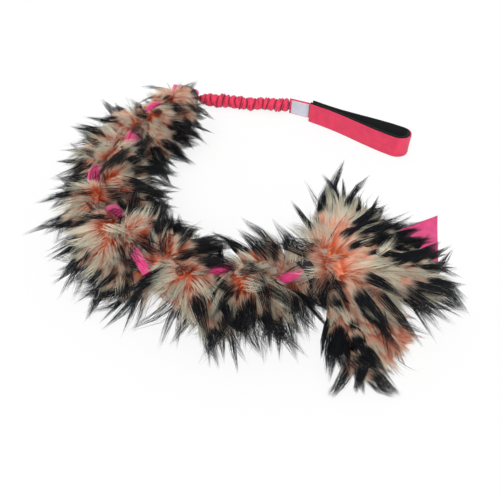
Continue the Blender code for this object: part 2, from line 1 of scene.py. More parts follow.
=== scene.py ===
"""Looks of a braided fur and fleece tug toy, with its ruched bungee and padded hand loop."""
import json
import math
from functools import partialmethod
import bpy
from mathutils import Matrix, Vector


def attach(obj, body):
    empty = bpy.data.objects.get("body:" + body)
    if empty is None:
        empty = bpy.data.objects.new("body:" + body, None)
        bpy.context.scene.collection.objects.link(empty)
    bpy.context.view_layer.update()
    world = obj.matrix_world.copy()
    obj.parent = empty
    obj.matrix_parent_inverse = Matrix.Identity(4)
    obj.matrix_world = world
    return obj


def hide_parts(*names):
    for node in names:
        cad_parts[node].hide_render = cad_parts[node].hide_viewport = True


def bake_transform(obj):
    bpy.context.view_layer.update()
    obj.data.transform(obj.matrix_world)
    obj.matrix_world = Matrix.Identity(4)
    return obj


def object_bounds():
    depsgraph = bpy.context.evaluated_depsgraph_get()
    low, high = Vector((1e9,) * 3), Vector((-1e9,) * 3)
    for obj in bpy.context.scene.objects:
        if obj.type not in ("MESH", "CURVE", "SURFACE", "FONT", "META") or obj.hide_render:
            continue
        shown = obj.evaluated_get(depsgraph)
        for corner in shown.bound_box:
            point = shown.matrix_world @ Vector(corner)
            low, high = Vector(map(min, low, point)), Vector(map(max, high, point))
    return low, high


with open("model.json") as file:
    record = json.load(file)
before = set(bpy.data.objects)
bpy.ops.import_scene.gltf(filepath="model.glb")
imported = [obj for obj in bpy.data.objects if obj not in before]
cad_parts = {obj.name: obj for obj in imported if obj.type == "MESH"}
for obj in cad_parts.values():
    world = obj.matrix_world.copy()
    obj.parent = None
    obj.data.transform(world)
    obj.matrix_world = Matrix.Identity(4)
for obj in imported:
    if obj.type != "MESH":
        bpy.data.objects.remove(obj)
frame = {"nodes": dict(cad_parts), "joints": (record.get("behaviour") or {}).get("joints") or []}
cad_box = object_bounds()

from types import SimpleNamespace

import bmesh
import bpy
import numpy as np
from bpy.props import FloatProperty, FloatVectorProperty, IntProperty, PointerProperty

bl_info = {
    "name": "Braided Tug Toy",
    "version": (1, 0, 0),
    "blender": (4, 5, 0),
    "location": "View3D > Sidebar > Tug Toy",
    "description": "Dresses the solid parts of a braided tug toy in fur, fleece and webbing",
    "category": "Object",
}

UV_MAP = "OFBake"
GAP = 0.0003
FLOOR_GAP = 0.0003

# The braid's route, as the solids have it: its start, and each stretch's length and turn
BRAID_START = (-0.0947, 0.3125)
BRAID_START_HEADING = -109.0
BRAID_LAY = ((0.156, -8.0), (0.281, 88.0), (0.158, 73.0))
BRAID_CROSSINGS = 20
FLEECE_PHASE = 90.0
STRIP_PHASE = 120.0
BOUND_LENGTH = 0.025
GATHER_LENGTH = 0.044
TWIST_LAG = 0.008
FATTEN_LAG = 2.5
BOUND_HEIGHT = 0.030
BALL_RADIUS = 0.0096
FUR_BOUND_RADIUS = 0.0068
FLEECE_RADIUS = 0.0114
FLEECE_BOUND_RADIUS = 0.0062
# Three bound strips lie in a triangle, this far from its middle
BOUND_SPREAD = (FUR_BOUND_RADIUS + GAP) / math.cos(math.radians(30.0))
# The cloth inside the pile, which the solids' fuller lobes stand for: how far a strip swings aside and up,
# its radius, and its radius where it is bound. The pile parts where a strip's twist has come to PARTING_TURN.
CORE_HEIGHT = 0.0370
CORE_FLEECE_RADIUS = 0.0085
FLEECE_CORE = (0.0115, 0.0165, CORE_FLEECE_RADIUS, FLEECE_BOUND_RADIUS)
FUR_CORE = (0.0200, 0.0170, 0.0100, FUR_BOUND_RADIUS)
PARTING_TURN = 28.0
STRIP_SEED = 10
FLEECE_CLOTH = 0.0024
CORD_RADIUS = 0.0013
# A whipping's middle, from the braid's start or back from its end, and its turns
WHIPPINGS = {"top": (0.010, 5), "tail": (-0.014, 6)}

# Bight of the fleece, strap, sleeve and bungee
EYE_FROM_BRAID = (-0.0195, 0.0295)
EYE_CLEARANCE = 0.0008
BIGHT_FOOT = 0.0012
BIGHT_ENTRY = 0.0080
BIGHT_RIM_RADIUS = 0.0080
BUNGEE_HEADING = -12.2
STRAP_WIDTH = 0.011
STRAP_THICKNESS = 0.0022
STRAP_REACH = 0.028
STRAP_TACK = (0.0195, 0.0265)
SLEEVE_LENGTH = 0.152
SLEEVE_RADIUS = 0.0115
COLLAR_RADIUS = 0.0056
GATHER_SEED = 11

# Handle
NECK_TURN = -14.0
NECK_LENGTH = 0.0365
NECK_STRAIGHT = 0.85
NECK_WIDTH = 0.025
NECK_THICKNESS = 0.0030
NECK_FACE = NECK_THICKNESS * 0.45 + 0.0002
SEAM_LENGTH = 0.022
LOOP_TURN = -10.0
LOOP_LENGTH = 0.155
LOOP_CLEAR_WIDTH = 0.024
LOOP_WEB_WIDTH = 0.030
LOOP_WEB_THICKNESS = 0.0017
LINING_WIDTH = 0.033
LINING_THICKNESS = 0.0030
LABEL_LENGTH = 0.029
LABEL_WIDTH = 0.022
LABEL_THICKNESS = 0.0006
LABEL_FROM_SLEEVE = 0.0035
STITCH_INSET = 0.0030
LABEL_STITCH_INSET = 0.0012


def millimetres(*rows):
    return np.array(rows) / 1000.0


# Cloth of the fur tails, under the pile. A row is a distance from the hinge, the offset to the left, half
# the width, half the thickness and the height. A parting is a line across: its distance and its two ends.
# Hair spreads sideways by fan and upwards by rise. Reach scales it, short cuts it back at the far end, slant
# skews the cloth, and shade and blush darken and redden its edges.
TAILS = {
    "upper": SimpleNamespace(
        rows=millimetres(
            (0, 0, 5, 3, 32),
            (6, 4.5, 7, 3, 32),
            (12, 2, 26, 5, 40),
            (20, -5, 43, 11, 45.5),
            (35, -1, 53, 17, 48),
            (70, 3, 53, 15, 45),
            (95, -2, 46, 7, 34),
            (102, -6, 39, 3, 29),
        ),
        heading=6.5, parting=(0.0110, -0.0320, 0.0120), body="upper_tail", parts=2, seed=62,
        fan=2.4, rise=0.7, reach=1.3, short=0.42, slant=0.3, shade=0.05, blush=0.0,
    ),
    "lower": SimpleNamespace(
        rows=millimetres(
            (0.5, 1, 4, 4, 30),
            (7, 6, 5.5, 5, 29),
            (30, 13, 18, 9, 22),
            (60, 9, 27, 10, 18),
            (90, 5, 31, 8, 14),
            (110, 4, 31, 4, 8),
        ),
        heading=-57.7, parting=(-0.0200, -0.0050, 0.0100), body="tassel", parts=1, seed=70,
        fan=2.0, rise=0.0, reach=1.0, short=0.1, slant=0.0, shade=0.4, blush=0.9,
    ),
}
# The fleece's loose end, whose rows are a distance, half the width and the height
FLEECE_TAIL_HEADING = 23.7
FLEECE_TAIL_LENGTH = 0.171
FLEECE_TAIL_WIDTH = 0.068
FLEECE_TAIL_SKEW = -38.0
FLEECE_THICKNESS = 0.0032
FLEECE_TAIL = (
    (0.0094, 0.0040, 0.0234),
    (0.0240, 0.0110, 0.0130),
    (0.0550, 0.0280, 0.0032),
    (0.0750, 0.0300, 0.0022),
    (FLEECE_TAIL_LENGTH, FLEECE_TAIL_WIDTH / 2, 0.0022),
)

# What a skin's points carry for its pile: the hairs' direction, reach and density, and their colours, where
# the braid's darkness holds painted shade
COMBED = ("comb", "reach", "cover", "dark", "blush")


# Sizes and colours


class TugToyFur(bpy.types.PropertyGroup):
    length: FloatProperty(name="Pile length", description="Longest hairs", default=0.045, unit="LENGTH")
    width: FloatProperty(name="Hair width", description="Width of a lock", default=0.00055, unit="LENGTH")
    strip_hairs: IntProperty(name="Strip hairs", description="Hairs in a piece of the braid", default=11800)
    tail_hairs: IntProperty(name="Tail hairs", description="Hairs in a piece of the tassel", default=11800)
    tufts: FloatProperty(name="Tufts", description="Tufts to a square metre", default=13000.0)
    streaks: FloatProperty(name="Streaks", description="Black tufts to a square metre", default=8200.0)
    streak: FloatProperty(name="Streak", description="Foot of a black tuft", default=0.0035, unit="LENGTH")
    clump: FloatProperty(name="Clumping", description="How far hairs gather", default=0.88, min=0, max=1)
    wildness: FloatProperty(name="Wildness", description="How much tufts stray from the comb", default=0.5)
    droop: FloatProperty(name="Droop", description="How far tips sink under their weight", default=0.12)
    root: FloatVectorProperty(
        name="Root", description="Coral at the parting", subtype="COLOR", default=(0.84, 0.195, 0.075)
    )
    middle: FloatVectorProperty(
        name="Middle", description="Peach of the pile", subtype="COLOR", default=(0.98, 0.60, 0.44)
    )
    pale: FloatVectorProperty(name="Pale", description="Cream", subtype="COLOR", default=(1.0, 0.93, 0.74))
    grey: FloatVectorProperty(name="Grey", description="Olive", subtype="COLOR", default=(0.42, 0.43, 0.35))
    tip: FloatVectorProperty(
        name="Tip", description="Blue black", subtype="COLOR", default=(0.006, 0.008, 0.012)
    )


class TugToyCloth(bpy.types.PropertyGroup):
    fleece: FloatVectorProperty(
        name="Fleece", description="Hot pink", subtype="COLOR", default=(0.86, 0.045, 0.24)
    )
    webbing: FloatVectorProperty(
        name="Webbing", description="Coral pink", subtype="COLOR", default=(0.86, 0.038, 0.115)
    )
    # Crease is painted shade: the crimson that darkens the sleeve between its folds
    crease: FloatVectorProperty(
        name="Crease", description="Crimson in the folds", subtype="COLOR", default=(0.26, 0.006, 0.028)
    )
    lining: FloatVectorProperty(
        name="Lining", description="Black knit", subtype="COLOR", default=(0.008, 0.009, 0.010)
    )
    label: FloatVectorProperty(
        name="Label", description="Bare woven label", subtype="COLOR", default=(0.74, 0.78, 0.88)
    )
    cord: FloatVectorProperty(
        name="Whipping", description="Dark cord", subtype="COLOR", default=(0.02, 0.02, 0.025)
    )
    roll_turns: FloatProperty(name="Fleece turns", description="Turns of the rolled fleece", default=1.3)
    stitch: FloatProperty(name="Stitch", description="Length of one stitch", default=0.003, unit="LENGTH")
    thread_width: FloatProperty(name="Thread", description="Thread's width", default=0.00075, unit="LENGTH")
    gathers: IntProperty(name="Gathers", description="Folds along the sleeve", default=14)


# Node trees


def pick(sockets, name=None):
    """The first socket that the node shows, or the one of that name."""
    for socket in sockets:
        if socket.enabled and name in (None, socket.name):
            return socket
    raise KeyError(f"no socket {name} among {[s.name for s in sockets if s.enabled]}")


class Wire:
    """A node's output in sums: numbers with numbers, vectors with vectors or with a number as their scale."""

    def __init__(self, bench, socket):
        self.bench = bench
        self.socket = socket

    def sum(self, operation, *values):
        return self.bench.calc(operation, self, *values)

    def __rsub__(self, other):
        return self.bench.calc("SUBTRACT", other, self)

    __add__ = partialmethod(sum, "ADD")
    __sub__ = partialmethod(sum, "SUBTRACT")
    __mul__ = partialmethod(sum, "MULTIPLY")
    by = partialmethod(sum, "MULTIPLY_ADD")
    unit = partialmethod(sum, "NORMALIZE")
    length = partialmethod(sum, "LENGTH")
    sine = partialmethod(sum, "SINE")

    def spread(self, low, high, new_low=0.0, new_high=1.0, kind="LINEAR"):
        """This number, moved from one range to another and kept within it."""
        feeds = {"Value": self, "From Min": low, "From Max": high, "To Min": new_low, "To Max": new_high}
        return self.bench.add("ShaderNodeMapRange", feeds, interpolation_type=kind)

    def split(self):
        parts = self.bench.add("ShaderNodeSeparateXYZ", {0: self})
        return [parts.other(name) for name in "XYZ"]

    def other(self, name):
        """Another output of the same node."""
        return Wire(self.bench, self.socket.node.outputs[name])


def is_vector(value):
    return isinstance(value, tuple) or isinstance(value, Wire) and value.socket.type == "VECTOR"


class Bench:
    """Adds nodes to one tree. A feed is a value or a wire."""

    def __init__(self, tree):
        self.tree = tree

    def add(self, kind, feeds=(), out=None, **options):
        node = self.tree.nodes.new(kind)
        for option, value in options.items():
            setattr(node, option, value)
        for name, value in dict(feeds).items():
            self.feed(node.inputs[name] if isinstance(name, int) else pick(node.inputs, name), value)
        return Wire(self, pick(node.outputs, out))

    def feed(self, socket, value):
        if isinstance(value, Wire):
            self.tree.links.new(value.socket, socket)
        else:
            socket.default_value = value

    def calc(self, operation, *values):
        vectors = [is_vector(value) for value in values]
        if not any(vectors):
            return self.add("ShaderNodeMath", dict(enumerate(values)), operation=operation)
        if operation == "MULTIPLY" and not all(vectors):
            return self.add("ShaderNodeVectorMath", {0: values[0], "Scale": values[1]}, operation="SCALE")
        return self.add("ShaderNodeVectorMath", dict(enumerate(values)), operation=operation)

    def join(self, x, y, z):
        return self.add("ShaderNodeCombineXYZ", {0: x, 1: y, 2: z})

    def mix(self, share, low, high, kind=None):
        kind = kind or ("VECTOR" if is_vector(low) else "FLOAT")
        return self.add("ShaderNodeMix", {"Factor": share, "A": low, "B": high}, data_type=kind)


class Geometry(Bench):
    """A geometry node tree with named inputs, ending in Set Material."""

    SOCKETS = {float: "Float", int: "Int", tuple: "Vector", bpy.types.Material: "Material"}

    def __init__(self, name, inputs):
        super().__init__(bpy.data.node_groups.new(name, "GeometryNodeTree"))
        face = self.tree.interface
        for way in ("INPUT", "OUTPUT"):
            face.new_socket("Geometry", in_out=way, socket_type="NodeSocketGeometry")
        for label, value in inputs.items():
            kind = "NodeSocket" + self.SOCKETS[type(value)]
            face.new_socket(label, in_out="INPUT", socket_type=kind).default_value = value
        group = self.tree.nodes.new("NodeGroupInput")
        self.given = {socket.name: Wire(self, socket) for socket in group.outputs}
        self.result = self.tree.nodes.new("NodeGroupOutput").inputs[0]

    def named(self, name, kind="FLOAT"):
        return self.add("GeometryNodeInputNamedAttribute", {"Name": name}, data_type=kind)

    def vectors(self, *names):
        return [self.named(name, "FLOAT_VECTOR") for name in names]

    def store(self, geometry, name, value, kind=None, domain="POINT"):
        feeds = {"Geometry": geometry, "Name": name, "Value": value}
        kind = kind or ("FLOAT_VECTOR" if is_vector(value) else "FLOAT")
        return self.add("GeometryNodeStoreNamedAttribute", feeds, data_type=kind, domain=domain)

    def random(self, low, seed):
        """Three random numbers from low to 1."""
        feeds = {"Min": (low,) * 3, "Max": (1.0,) * 3, "Seed": seed}
        return self.add("FunctionNodeRandomValue", feeds, data_type="FLOAT_VECTOR")

    def copies(self, points, piece, **turned):
        feeds = {"Points": points, "Instance": piece, **turned}
        return self.realized(self.add("GeometryNodeInstanceOnPoints", feeds))

    def realized(self, geometry):
        return self.add("GeometryNodeRealizeInstances", {"Geometry": geometry})

    def finish(self, geometry):
        smooth = self.add("GeometryNodeSetShadeSmooth", {"Geometry": geometry})
        feeds = {"Geometry": smooth, "Material": self.given["Finish"]}
        self.feed(self.result, self.add("GeometryNodeSetMaterial", feeds))
        return self.tree


def grow(name, base, make, inputs):
    """Runs a tree on a mesh and keeps the result as a plain mesh object of that name."""
    host = bpy.data.objects.new(name + "_base", base)
    bpy.context.scene.collection.objects.link(host)
    modifier = host.modifiers.new("grow", "NODES")
    modifier.node_group = bpy.data.node_groups.get(make.__name__) or make(inputs)
    for item in modifier.node_group.interface.items_tree:
        if item.in_out == "INPUT" and item.name in inputs:
            modifier[item.identifier] = inputs[item.name]
    graph = bpy.context.evaluated_depsgraph_get()
    graph.update()
    mesh = bpy.data.meshes.new_from_object(host.evaluated_get(graph), depsgraph=graph)
    bpy.data.objects.remove(host)
    if not mesh.polygons:
        raise RuntimeError(f"{name} came out empty")
    mesh.name = name
    return show(name, mesh, inputs["Finish"])


def show(name, mesh, finished):
    obj = bpy.data.objects.new(name, mesh)
    bpy.context.scene.collection.objects.link(obj)
    mesh.materials.clear()
    mesh.materials.append(finished)
    return obj


def dress(obj, body, slot, *nodes):
    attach(obj, body)
    if nodes:
        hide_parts(*nodes)
    return obj


# Shares, directions and the braid's route


def past(value, start, over):
    """How far a value has come past a start, from 0 to 1 over a stretch."""
    return np.clip((value - start) / over, 0.0, 1.0)


def ease(value, start=0.0, over=1.0):
    """The same, but setting off and arriving gently."""
    share = past(value, start, over)
    return share * share * (3.0 - 2.0 * share)


def unit(vectors):
    return vectors / np.maximum(np.linalg.norm(vectors, axis=-1, keepdims=True), 1e-12)


def turn_to(degrees):
    angle = np.radians(degrees)
    return np.stack([np.cos(angle), np.sin(angle), np.zeros_like(angle)], -1)


def ways(heading):
    """The directions ahead and to the left."""
    return turn_to(heading), turn_to(heading + 90.0)


def round_about(sides):
    return 2 * math.pi * np.arange(sides) / sides


def follow(rows, at):
    """Rows of numbers blended gently along their first column."""
    rows = np.array(rows)
    k = np.clip(np.searchsorted(rows[:, 0], at, side="right") - 1, 0, len(rows) - 2)
    share = ease(at, rows[k, 0], rows[k + 1, 0] - rows[k, 0])[:, None]
    return rows[k] * (1 - share) + rows[k + 1] * share


def joint_place(name):
    return next(j for j in frame["joints"] if j["name"] == name)["pos_m"]


def tassel_foot():
    """The point of the floor below the tassel's hinge."""
    x, y, _ = joint_place("tassel_swing")
    return np.array([x, y, 0.0])


class Route:
    """The braid's axis: place, heading and looseness at distances along it."""

    STEP = 0.001

    def __init__(self):
        self.length = sum(stretch for stretch, _ in BRAID_LAY)
        self.at = np.linspace(0.0, self.length, round(self.length / self.STEP) + 1)
        bend, start = np.zeros(len(self.at) - 1), 0.0
        for stretch, turn in BRAID_LAY:
            bend[self.at[:-1] >= start - 1e-9] = math.radians(turn) / stretch
            start += stretch
        step = self.at[1]
        self.headings = BRAID_START_HEADING + np.degrees(np.concatenate([[0.0], np.cumsum(bend) * step]))
        middles = (self.headings[1:] + self.headings[:-1]) / 2
        walk = np.cumsum(turn_to(middles) * step, axis=0)
        self.places = np.vstack([[0.0, 0.0, 0.0], walk]) + (*BRAID_START, 0.0)
        self.shift = tassel_foot() - self.places[-1]
        self.places += self.shift

    def place(self, at):
        return np.stack([np.interp(at, self.at, self.places[:, k]) for k in range(3)], -1)

    def heading(self, at):
        return np.interp(at, self.at, self.headings)

    def looseness(self, at):
        return ease(np.minimum(at, self.length - at), BOUND_LENGTH, GATHER_LENGTH)

    def angle(self, at, phase):
        still = BOUND_LENGTH + TWIST_LAG
        turning = self.length - 2 * still
        return phase + 60.0 * BRAID_CROSSINGS * np.clip(at - still, 0.0, turning) / turning


class Strand:
    """One braided strip: centres, radii and directions at even stations along the braid."""

    def __init__(self, route, phase, core, station=0.004):
        half_width, half_height, radius, bound = core
        end = route.length - BALL_RADIUS
        self.at = np.linspace(0.0, end, round(end / station) + 1)
        self.angle = route.angle(self.at, phase)
        loose = route.looseness(self.at)
        swing, climb = np.sin(np.radians(self.angle)), np.sin(np.radians(2 * self.angle))
        self.aside = (BOUND_SPREAD + (half_width - BOUND_SPREAD) * loose) * swing
        up = (BOUND_SPREAD + (half_height - BOUND_SPREAD) * loose) * climb
        self.left = ways(route.heading(self.at))[1]
        self.centre = route.place(self.at) + self.left * self.aside[:, None]
        self.centre[:, 2] = BOUND_HEIGHT + (CORE_HEIGHT - BOUND_HEIGHT) * loose + up
        self.radius = bound + (radius - bound) * loose**FATTEN_LAG
        self.run = unit(np.gradient(self.centre, axis=0))
        self.side = unit(np.cross(self.run, [0.0, 0.0, 1.0]))
        self.top = np.cross(self.side, self.run)


# Frames and paths of the lead


class Line:
    """A frame on the toy: x along its heading, y to the left, z up."""

    def __init__(self, origin, heading):
        self.origin = np.asarray(origin, float)
        self.axes = np.array([*ways(heading), (0.0, 0.0, 1.0)])
        self.heading = heading

    def out(self, points):
        return np.asarray(points, float) @ self.axes + self.origin

    def on(self, point, turn=0.0):
        """A frame further along this one."""
        return Line(self.out(point), self.heading + turn)


def line_rise(x):
    """How far the bungee's centre has risen towards the standing handle."""
    return (LINING_WIDTH / 2 - SLEEVE_RADIUS) * ease(x / SLEEVE_LENGTH, 0.45, 0.5)


def neck_points():
    """Centre of the neck webbing, in the frame at the sleeve's end."""
    slant = NECK_THICKNESS / 2 * abs(math.sin(math.radians(NECK_TURN)))
    points = [np.array([GAP + slant, 0.0, 0.0])]
    for index in range(20):
        heading = NECK_TURN + LOOP_TURN * ease((index + 0.5) / 20, NECK_STRAIGHT, (1 - NECK_STRAIGHT) / 2)
        points.append(points[-1] + turn_to(heading) * (NECK_LENGTH / 20))
    return np.array(points)


def frames():
    """The frames that the solids are built in: strap, sleeve, neck and loop."""
    strap = Line(joint_place("strap_swing"), BUNGEE_HEADING)
    sleeve = Line(joint_place("bungee_lift"), BUNGEE_HEADING)
    neck = sleeve.on((SLEEVE_LENGTH, 0.0, line_rise(SLEEVE_LENGTH)))
    loop = neck.on(neck_points()[-1], NECK_TURN + LOOP_TURN)
    return strap, sleeve, neck, loop


def loop_path(layer):
    """Teardrop of the hand loop at one layer, outwards from its clear gap; x to the tip."""
    tip_radius = LOOP_CLEAR_WIDTH / 2 + layer
    at_seam = NECK_THICKNESS / 2 + GAP + layer
    straight = LOOP_LENGTH - LOOP_CLEAR_WIDTH / 2
    x = np.linspace(0.0, straight, 61)[:-1]
    share = (1 - np.cos(np.pi * np.maximum(0.0, x - SEAM_LENGTH) / (straight - SEAM_LENGTH))) / 2
    arm = np.stack([x, at_seam + (tip_radius - at_seam) * share, 0 * x], -1)
    turn = turn_to(90.0 - 5.0 * np.arange(37)) * tip_radius + (straight, 0.0, 0.0)
    return np.vstack([arm, turn, arm[::-1] * (1, -1, 1)])


# Meshes


def loft(name, rings):
    """A closed skin over rings, an array of rings by points by 3, with outward faces."""
    rows, count = rings.shape[:2]
    index = np.arange(rows * count).reshape(rows, count)
    after = np.roll(index, -1, axis=1)
    faces = np.stack([index[:-1], after[:-1], after[1:], index[1:]], -1).reshape(-1, 4).tolist()
    faces += [index[0][::-1].tolist(), index[-1].tolist()]
    mesh = bpy.data.meshes.new(name)
    mesh.from_pydata(rings.reshape(-1, 3).tolist(), [], faces)
    work = bmesh.new()
    work.from_mesh(mesh)
    bmesh.ops.recalc_face_normals(work, faces=work.faces)
    work.to_mesh(mesh)
    work.free()
    mesh.shade_smooth()
    return mesh


def map_sheet(mesh, across, along):
    """Gives a mesh its map from two numbers for each point."""
    layer = mesh.uv_layers.new(name=UV_MAP)
    corner = np.zeros(len(mesh.loops), np.int32)
    mesh.loops.foreach_get("vertex_index", corner)
    pairs = np.stack([across[corner], along[corner]], -1)
    layer.data.foreach_set("uv", pairs.astype(np.float32).ravel())


def mark(mesh, **fields):
    """Keeps a number or a vector for each point of a mesh."""
    for name, values in fields.items():
        values = np.asarray(values, np.float32)
        many = values.ndim > 1
        made = mesh.attributes.new(name, "FLOAT_VECTOR" if many else "FLOAT", "POINT")
        made.data.foreach_set("vector" if many else "value", values.ravel())


def distances(path):
    """Distance along a path at each of its points."""
    return np.concatenate([[0.0], np.cumsum(np.linalg.norm(np.diff(path, axis=0), axis=1))])


def resample(path, step, *fields):
    """A smooth path with even steps, and the fields that go with its points."""
    at = distances(path)
    even = np.linspace(0.0, at[-1], max(2, round(at[-1] / step)) + 1)
    slopes = np.gradient(path, at, axis=0)
    k = np.clip(np.searchsorted(at, even, side="right") - 1, 0, len(at) - 2)
    h = (at[k + 1] - at[k])[:, None]
    t = ((even - at[k]) / h[:, 0])[:, None]
    smooth = (
        (2 * t**3 - 3 * t**2 + 1) * path[k]
        + (t**3 - 2 * t**2 + t) * h * slopes[k]
        + (3 * t**2 - 2 * t**3) * path[k + 1]
        + (t**3 - t**2) * h * slopes[k + 1]
    )
    return smooth, *[np.interp(even, at, field) for field in fields]


def strap_band(name, path, thickness, width, finished, crown=0.0, step=0.002, wave=0.0):
    """Flat webbing on its edge along a path in plan, with rounded edges and a fuller middle."""
    path = resample(path, step)[0]
    at = distances(path)
    run = unit(np.gradient(path, axis=0) * (1, 1, 0))
    side = np.stack([-run[:, 1], run[:, 0], 0 * run[:, 0]], -1)
    half, rim = width / 2, thickness / 2
    corner = np.radians(np.arange(0, 181, 30))
    rows = np.linspace(-1, 1, 9)[1:-1]
    low = np.stack([-np.cos(corner) * rim, -half + rim - np.sin(corner) * rim], -1)
    high = np.stack([np.cos(corner) * rim, half - rim + np.sin(corner) * rim], -1)
    right = np.stack([rim + crown * (1 - rows**2), rows * (half - rim)], -1)
    section = np.vstack([low, right, high, right[::-1] * (-1, 1)])
    swell = 1.0 + wave * np.sin(at * 290.0) * np.sin(at * 83.0 + 1.0)
    rings = path[:, None] + side[:, None] * section[None, :, :1]
    rings = rings + (0, 0, 1) * (section[None, :, 1:] * swell[:, None, None])
    mesh = loft(name, rings)
    across = (section[:, 1] + half) * 4 + (section[:, 0] > 0) * 0.3
    map_sheet(mesh, np.repeat(at, len(section)) * 4, np.tile(across, len(path)))
    return show(name, mesh, finished)


def round_end(mesh, centre, ahead, radius):
    """Rounds the corners of a band's end about a point on its middle line."""
    places = np.zeros(len(mesh.vertices) * 3)
    mesh.vertices.foreach_get("co", places)
    places = places.reshape(-1, 3)
    beyond = np.clip((places - centre) @ ahead, 0.0, radius * 0.99)
    room = np.sqrt(radius**2 - beyond**2)
    places[:, 2] = centre[2] + np.clip(places[:, 2] - centre[2], -room, room)
    mesh.vertices.foreach_set("co", places.ravel())
    mesh.update()


def face_weights(mesh, values):
    """Area of each face times the mean of a value over its corners, added up."""
    total = 0.0
    for face in mesh.polygons:
        total += face.area * sum(values[v] for v in face.vertices) / len(face.vertices)
    return total


# Finishes


class Finish(Bench):
    """A material: its roughness and gloss, and the nodes of its colour and relief."""

    def __init__(self, name, roughness, gloss):
        self.material = bpy.data.materials.new(name)
        self.material.use_nodes = True
        super().__init__(self.material.node_tree)
        self.shader = self.tree.nodes["Principled BSDF"].inputs
        self.shader["Roughness"].default_value = roughness
        self.shader["Specular IOR Level"].default_value = gloss

    def sheet(self):
        """The piece's own map: x along the cloth, y across it."""
        return self.add("ShaderNodeUVMap", uv_map=UV_MAP).split()

    def place(self):
        return self.add("ShaderNodeTexCoord", out="Object")

    def noise(self, scale, detail=3.0):
        return self.add("ShaderNodeTexNoise", {"Vector": self.place(), "Scale": scale, "Detail": detail})

    def tones(self, tone, low, high, deep, light, sheen=0.0):
        """Colours the cloth from deep to light as a tone goes from low to high."""
        colour = self.mix(tone.spread(low, high), (*deep, 1.0), (*light, 1.0), "RGBA")
        self.feed(self.shader["Base Color"], colour)
        self.shader["Sheen Weight"].default_value = sheen

    def relief(self, height, distance, strength=0.5):
        """Raises the surface by a height, and hands over the finished material."""
        feeds = {"Strength": strength, "Distance": distance, "Height": height}
        self.feed(self.shader["Normal"], self.add("ShaderNodeBump", feeds))
        return self.material


def tint(colour, share, more=0.0):
    return tuple(min(1.0, c * share + more) for c in colour)


def fur_finish(name, skin):
    """Coral roots through peach, cream and grey to black tips. The map has a tuft's darkness across and
    the hair's length up."""
    fur = bpy.context.scene.tug_toy_fur
    made = Finish(name, roughness=0.62, gloss=0.28)
    if skin:
        along = made.noise(260.0).spread(0.3, 0.7, 0.0, 0.26)
        dark = ashy = 0.0
    else:
        tone, along, _ = made.sheet()
        start = tone.spread(0.45, 0.99, 1.15, 0.16)
        dark = (along - start).spread(0.0, 0.15, kind="SMOOTHSTEP")
        ashy = tone.spread(0.05, 0.34) * along.spread(0.35, 0.75)
    ramp = made.add("ShaderNodeValToRGB", {0: along})
    elements = ramp.socket.node.color_ramp.elements
    stops = {0.0: fur.root, 0.12: [c * 1.2 for c in fur.root], 0.30: fur.middle, 0.52: fur.pale}
    while len(elements) < len(stops):
        elements.new(0.5)
    for element, (at, colour) in zip(elements, stops.items()):
        element.position = at
        element.color = (*colour, 1.0)
    colour = made.mix(ashy, ramp, (*fur.grey, 1.0), "RGBA")
    colour = made.mix(dark, colour, (*fur.tip, 1.0), "RGBA")
    made.feed(made.shader["Base Color"], colour)
    return made.material


def fleece_finish(name, colour):
    """Matt brushed fleece: short nap that catches the light, slightly mottled."""
    made = Finish(name, roughness=0.95, gloss=0.12)
    nap = made.noise(900.0, 4.0)
    tone = nap.by(0.7, made.noise(120.0, 2.0) * 0.5)
    made.tones(tone, 0.35, 0.85, tint(colour, 0.72), tint(colour, 1.12, 0.02), 0.35)
    made.shader["Sheen Roughness"].default_value = 0.6
    return made.relief(nap, 0.0008)


def webbing_finish(name, colour, pitch=1500.0, sheen=0.15, rough=0.6):
    """Woven webbing: fine ribs across, crossed by the warp, a little uneven in colour."""
    made = Finish(name, roughness=rough, gloss=0.35)
    x, y, _ = made.sheet()
    ribs = (x * pitch).sine()
    weave = ribs.sum("ABSOLUTE").by(0.5, ribs * (y * (pitch * 0.8)).sine())
    tone = weave.by(0.22, made.noise(70.0))
    made.tones(tone, 0.2, 0.85, tint(colour, 0.80), tint(colour, 1.08, 0.012), sheen)
    return made.relief(weave, 0.0002)


def sleeve_finish(name, light, deep):
    """Gathered nylon tube: bright on the folds, with painted shade darkening it to crimson between them, and
    fine ribs.
    """
    made = Finish(name, roughness=0.58, gloss=0.35)
    fold = made.add("ShaderNodeAttribute", attribute_name="fold", out="Fac")
    grain = made.noise(700.0, 4.0)
    made.tones(grain.by(0.3, fold * 0.85), 0.45, 0.9, deep, light, 0.2)
    return made.relief(grain, 0.0003)


def knit_finish(name, colour):
    """Black brushed knit of the padding: fine loops in rows."""
    made = Finish(name, roughness=0.92, gloss=0.2)
    x, y, _ = made.sheet()
    loops = (y * 1300.0).sine().by(0.8, x * 1100.0).sine()
    tone = loops.by(0.25, made.noise(800.0))
    made.tones(tone, 0.2, 0.9, tint(colour, 0.5), tint(colour, 2.6, 0.004), 0.1)
    return made.relief(tone, 0.0003)


def cord_finish(name, colour):
    """Twisted cord, laid in fine slanting strands."""
    made = Finish(name, roughness=0.55, gloss=0.4)
    x, y, z = made.place().split()
    lay = ((x + y + z) * 5200.0).sine()
    made.tones(lay, -1.0, 1.0, tint(colour, 0.6), tint(colour, 1.15, 0.01))
    return made.relief(lay, 0.0001, 0.4)


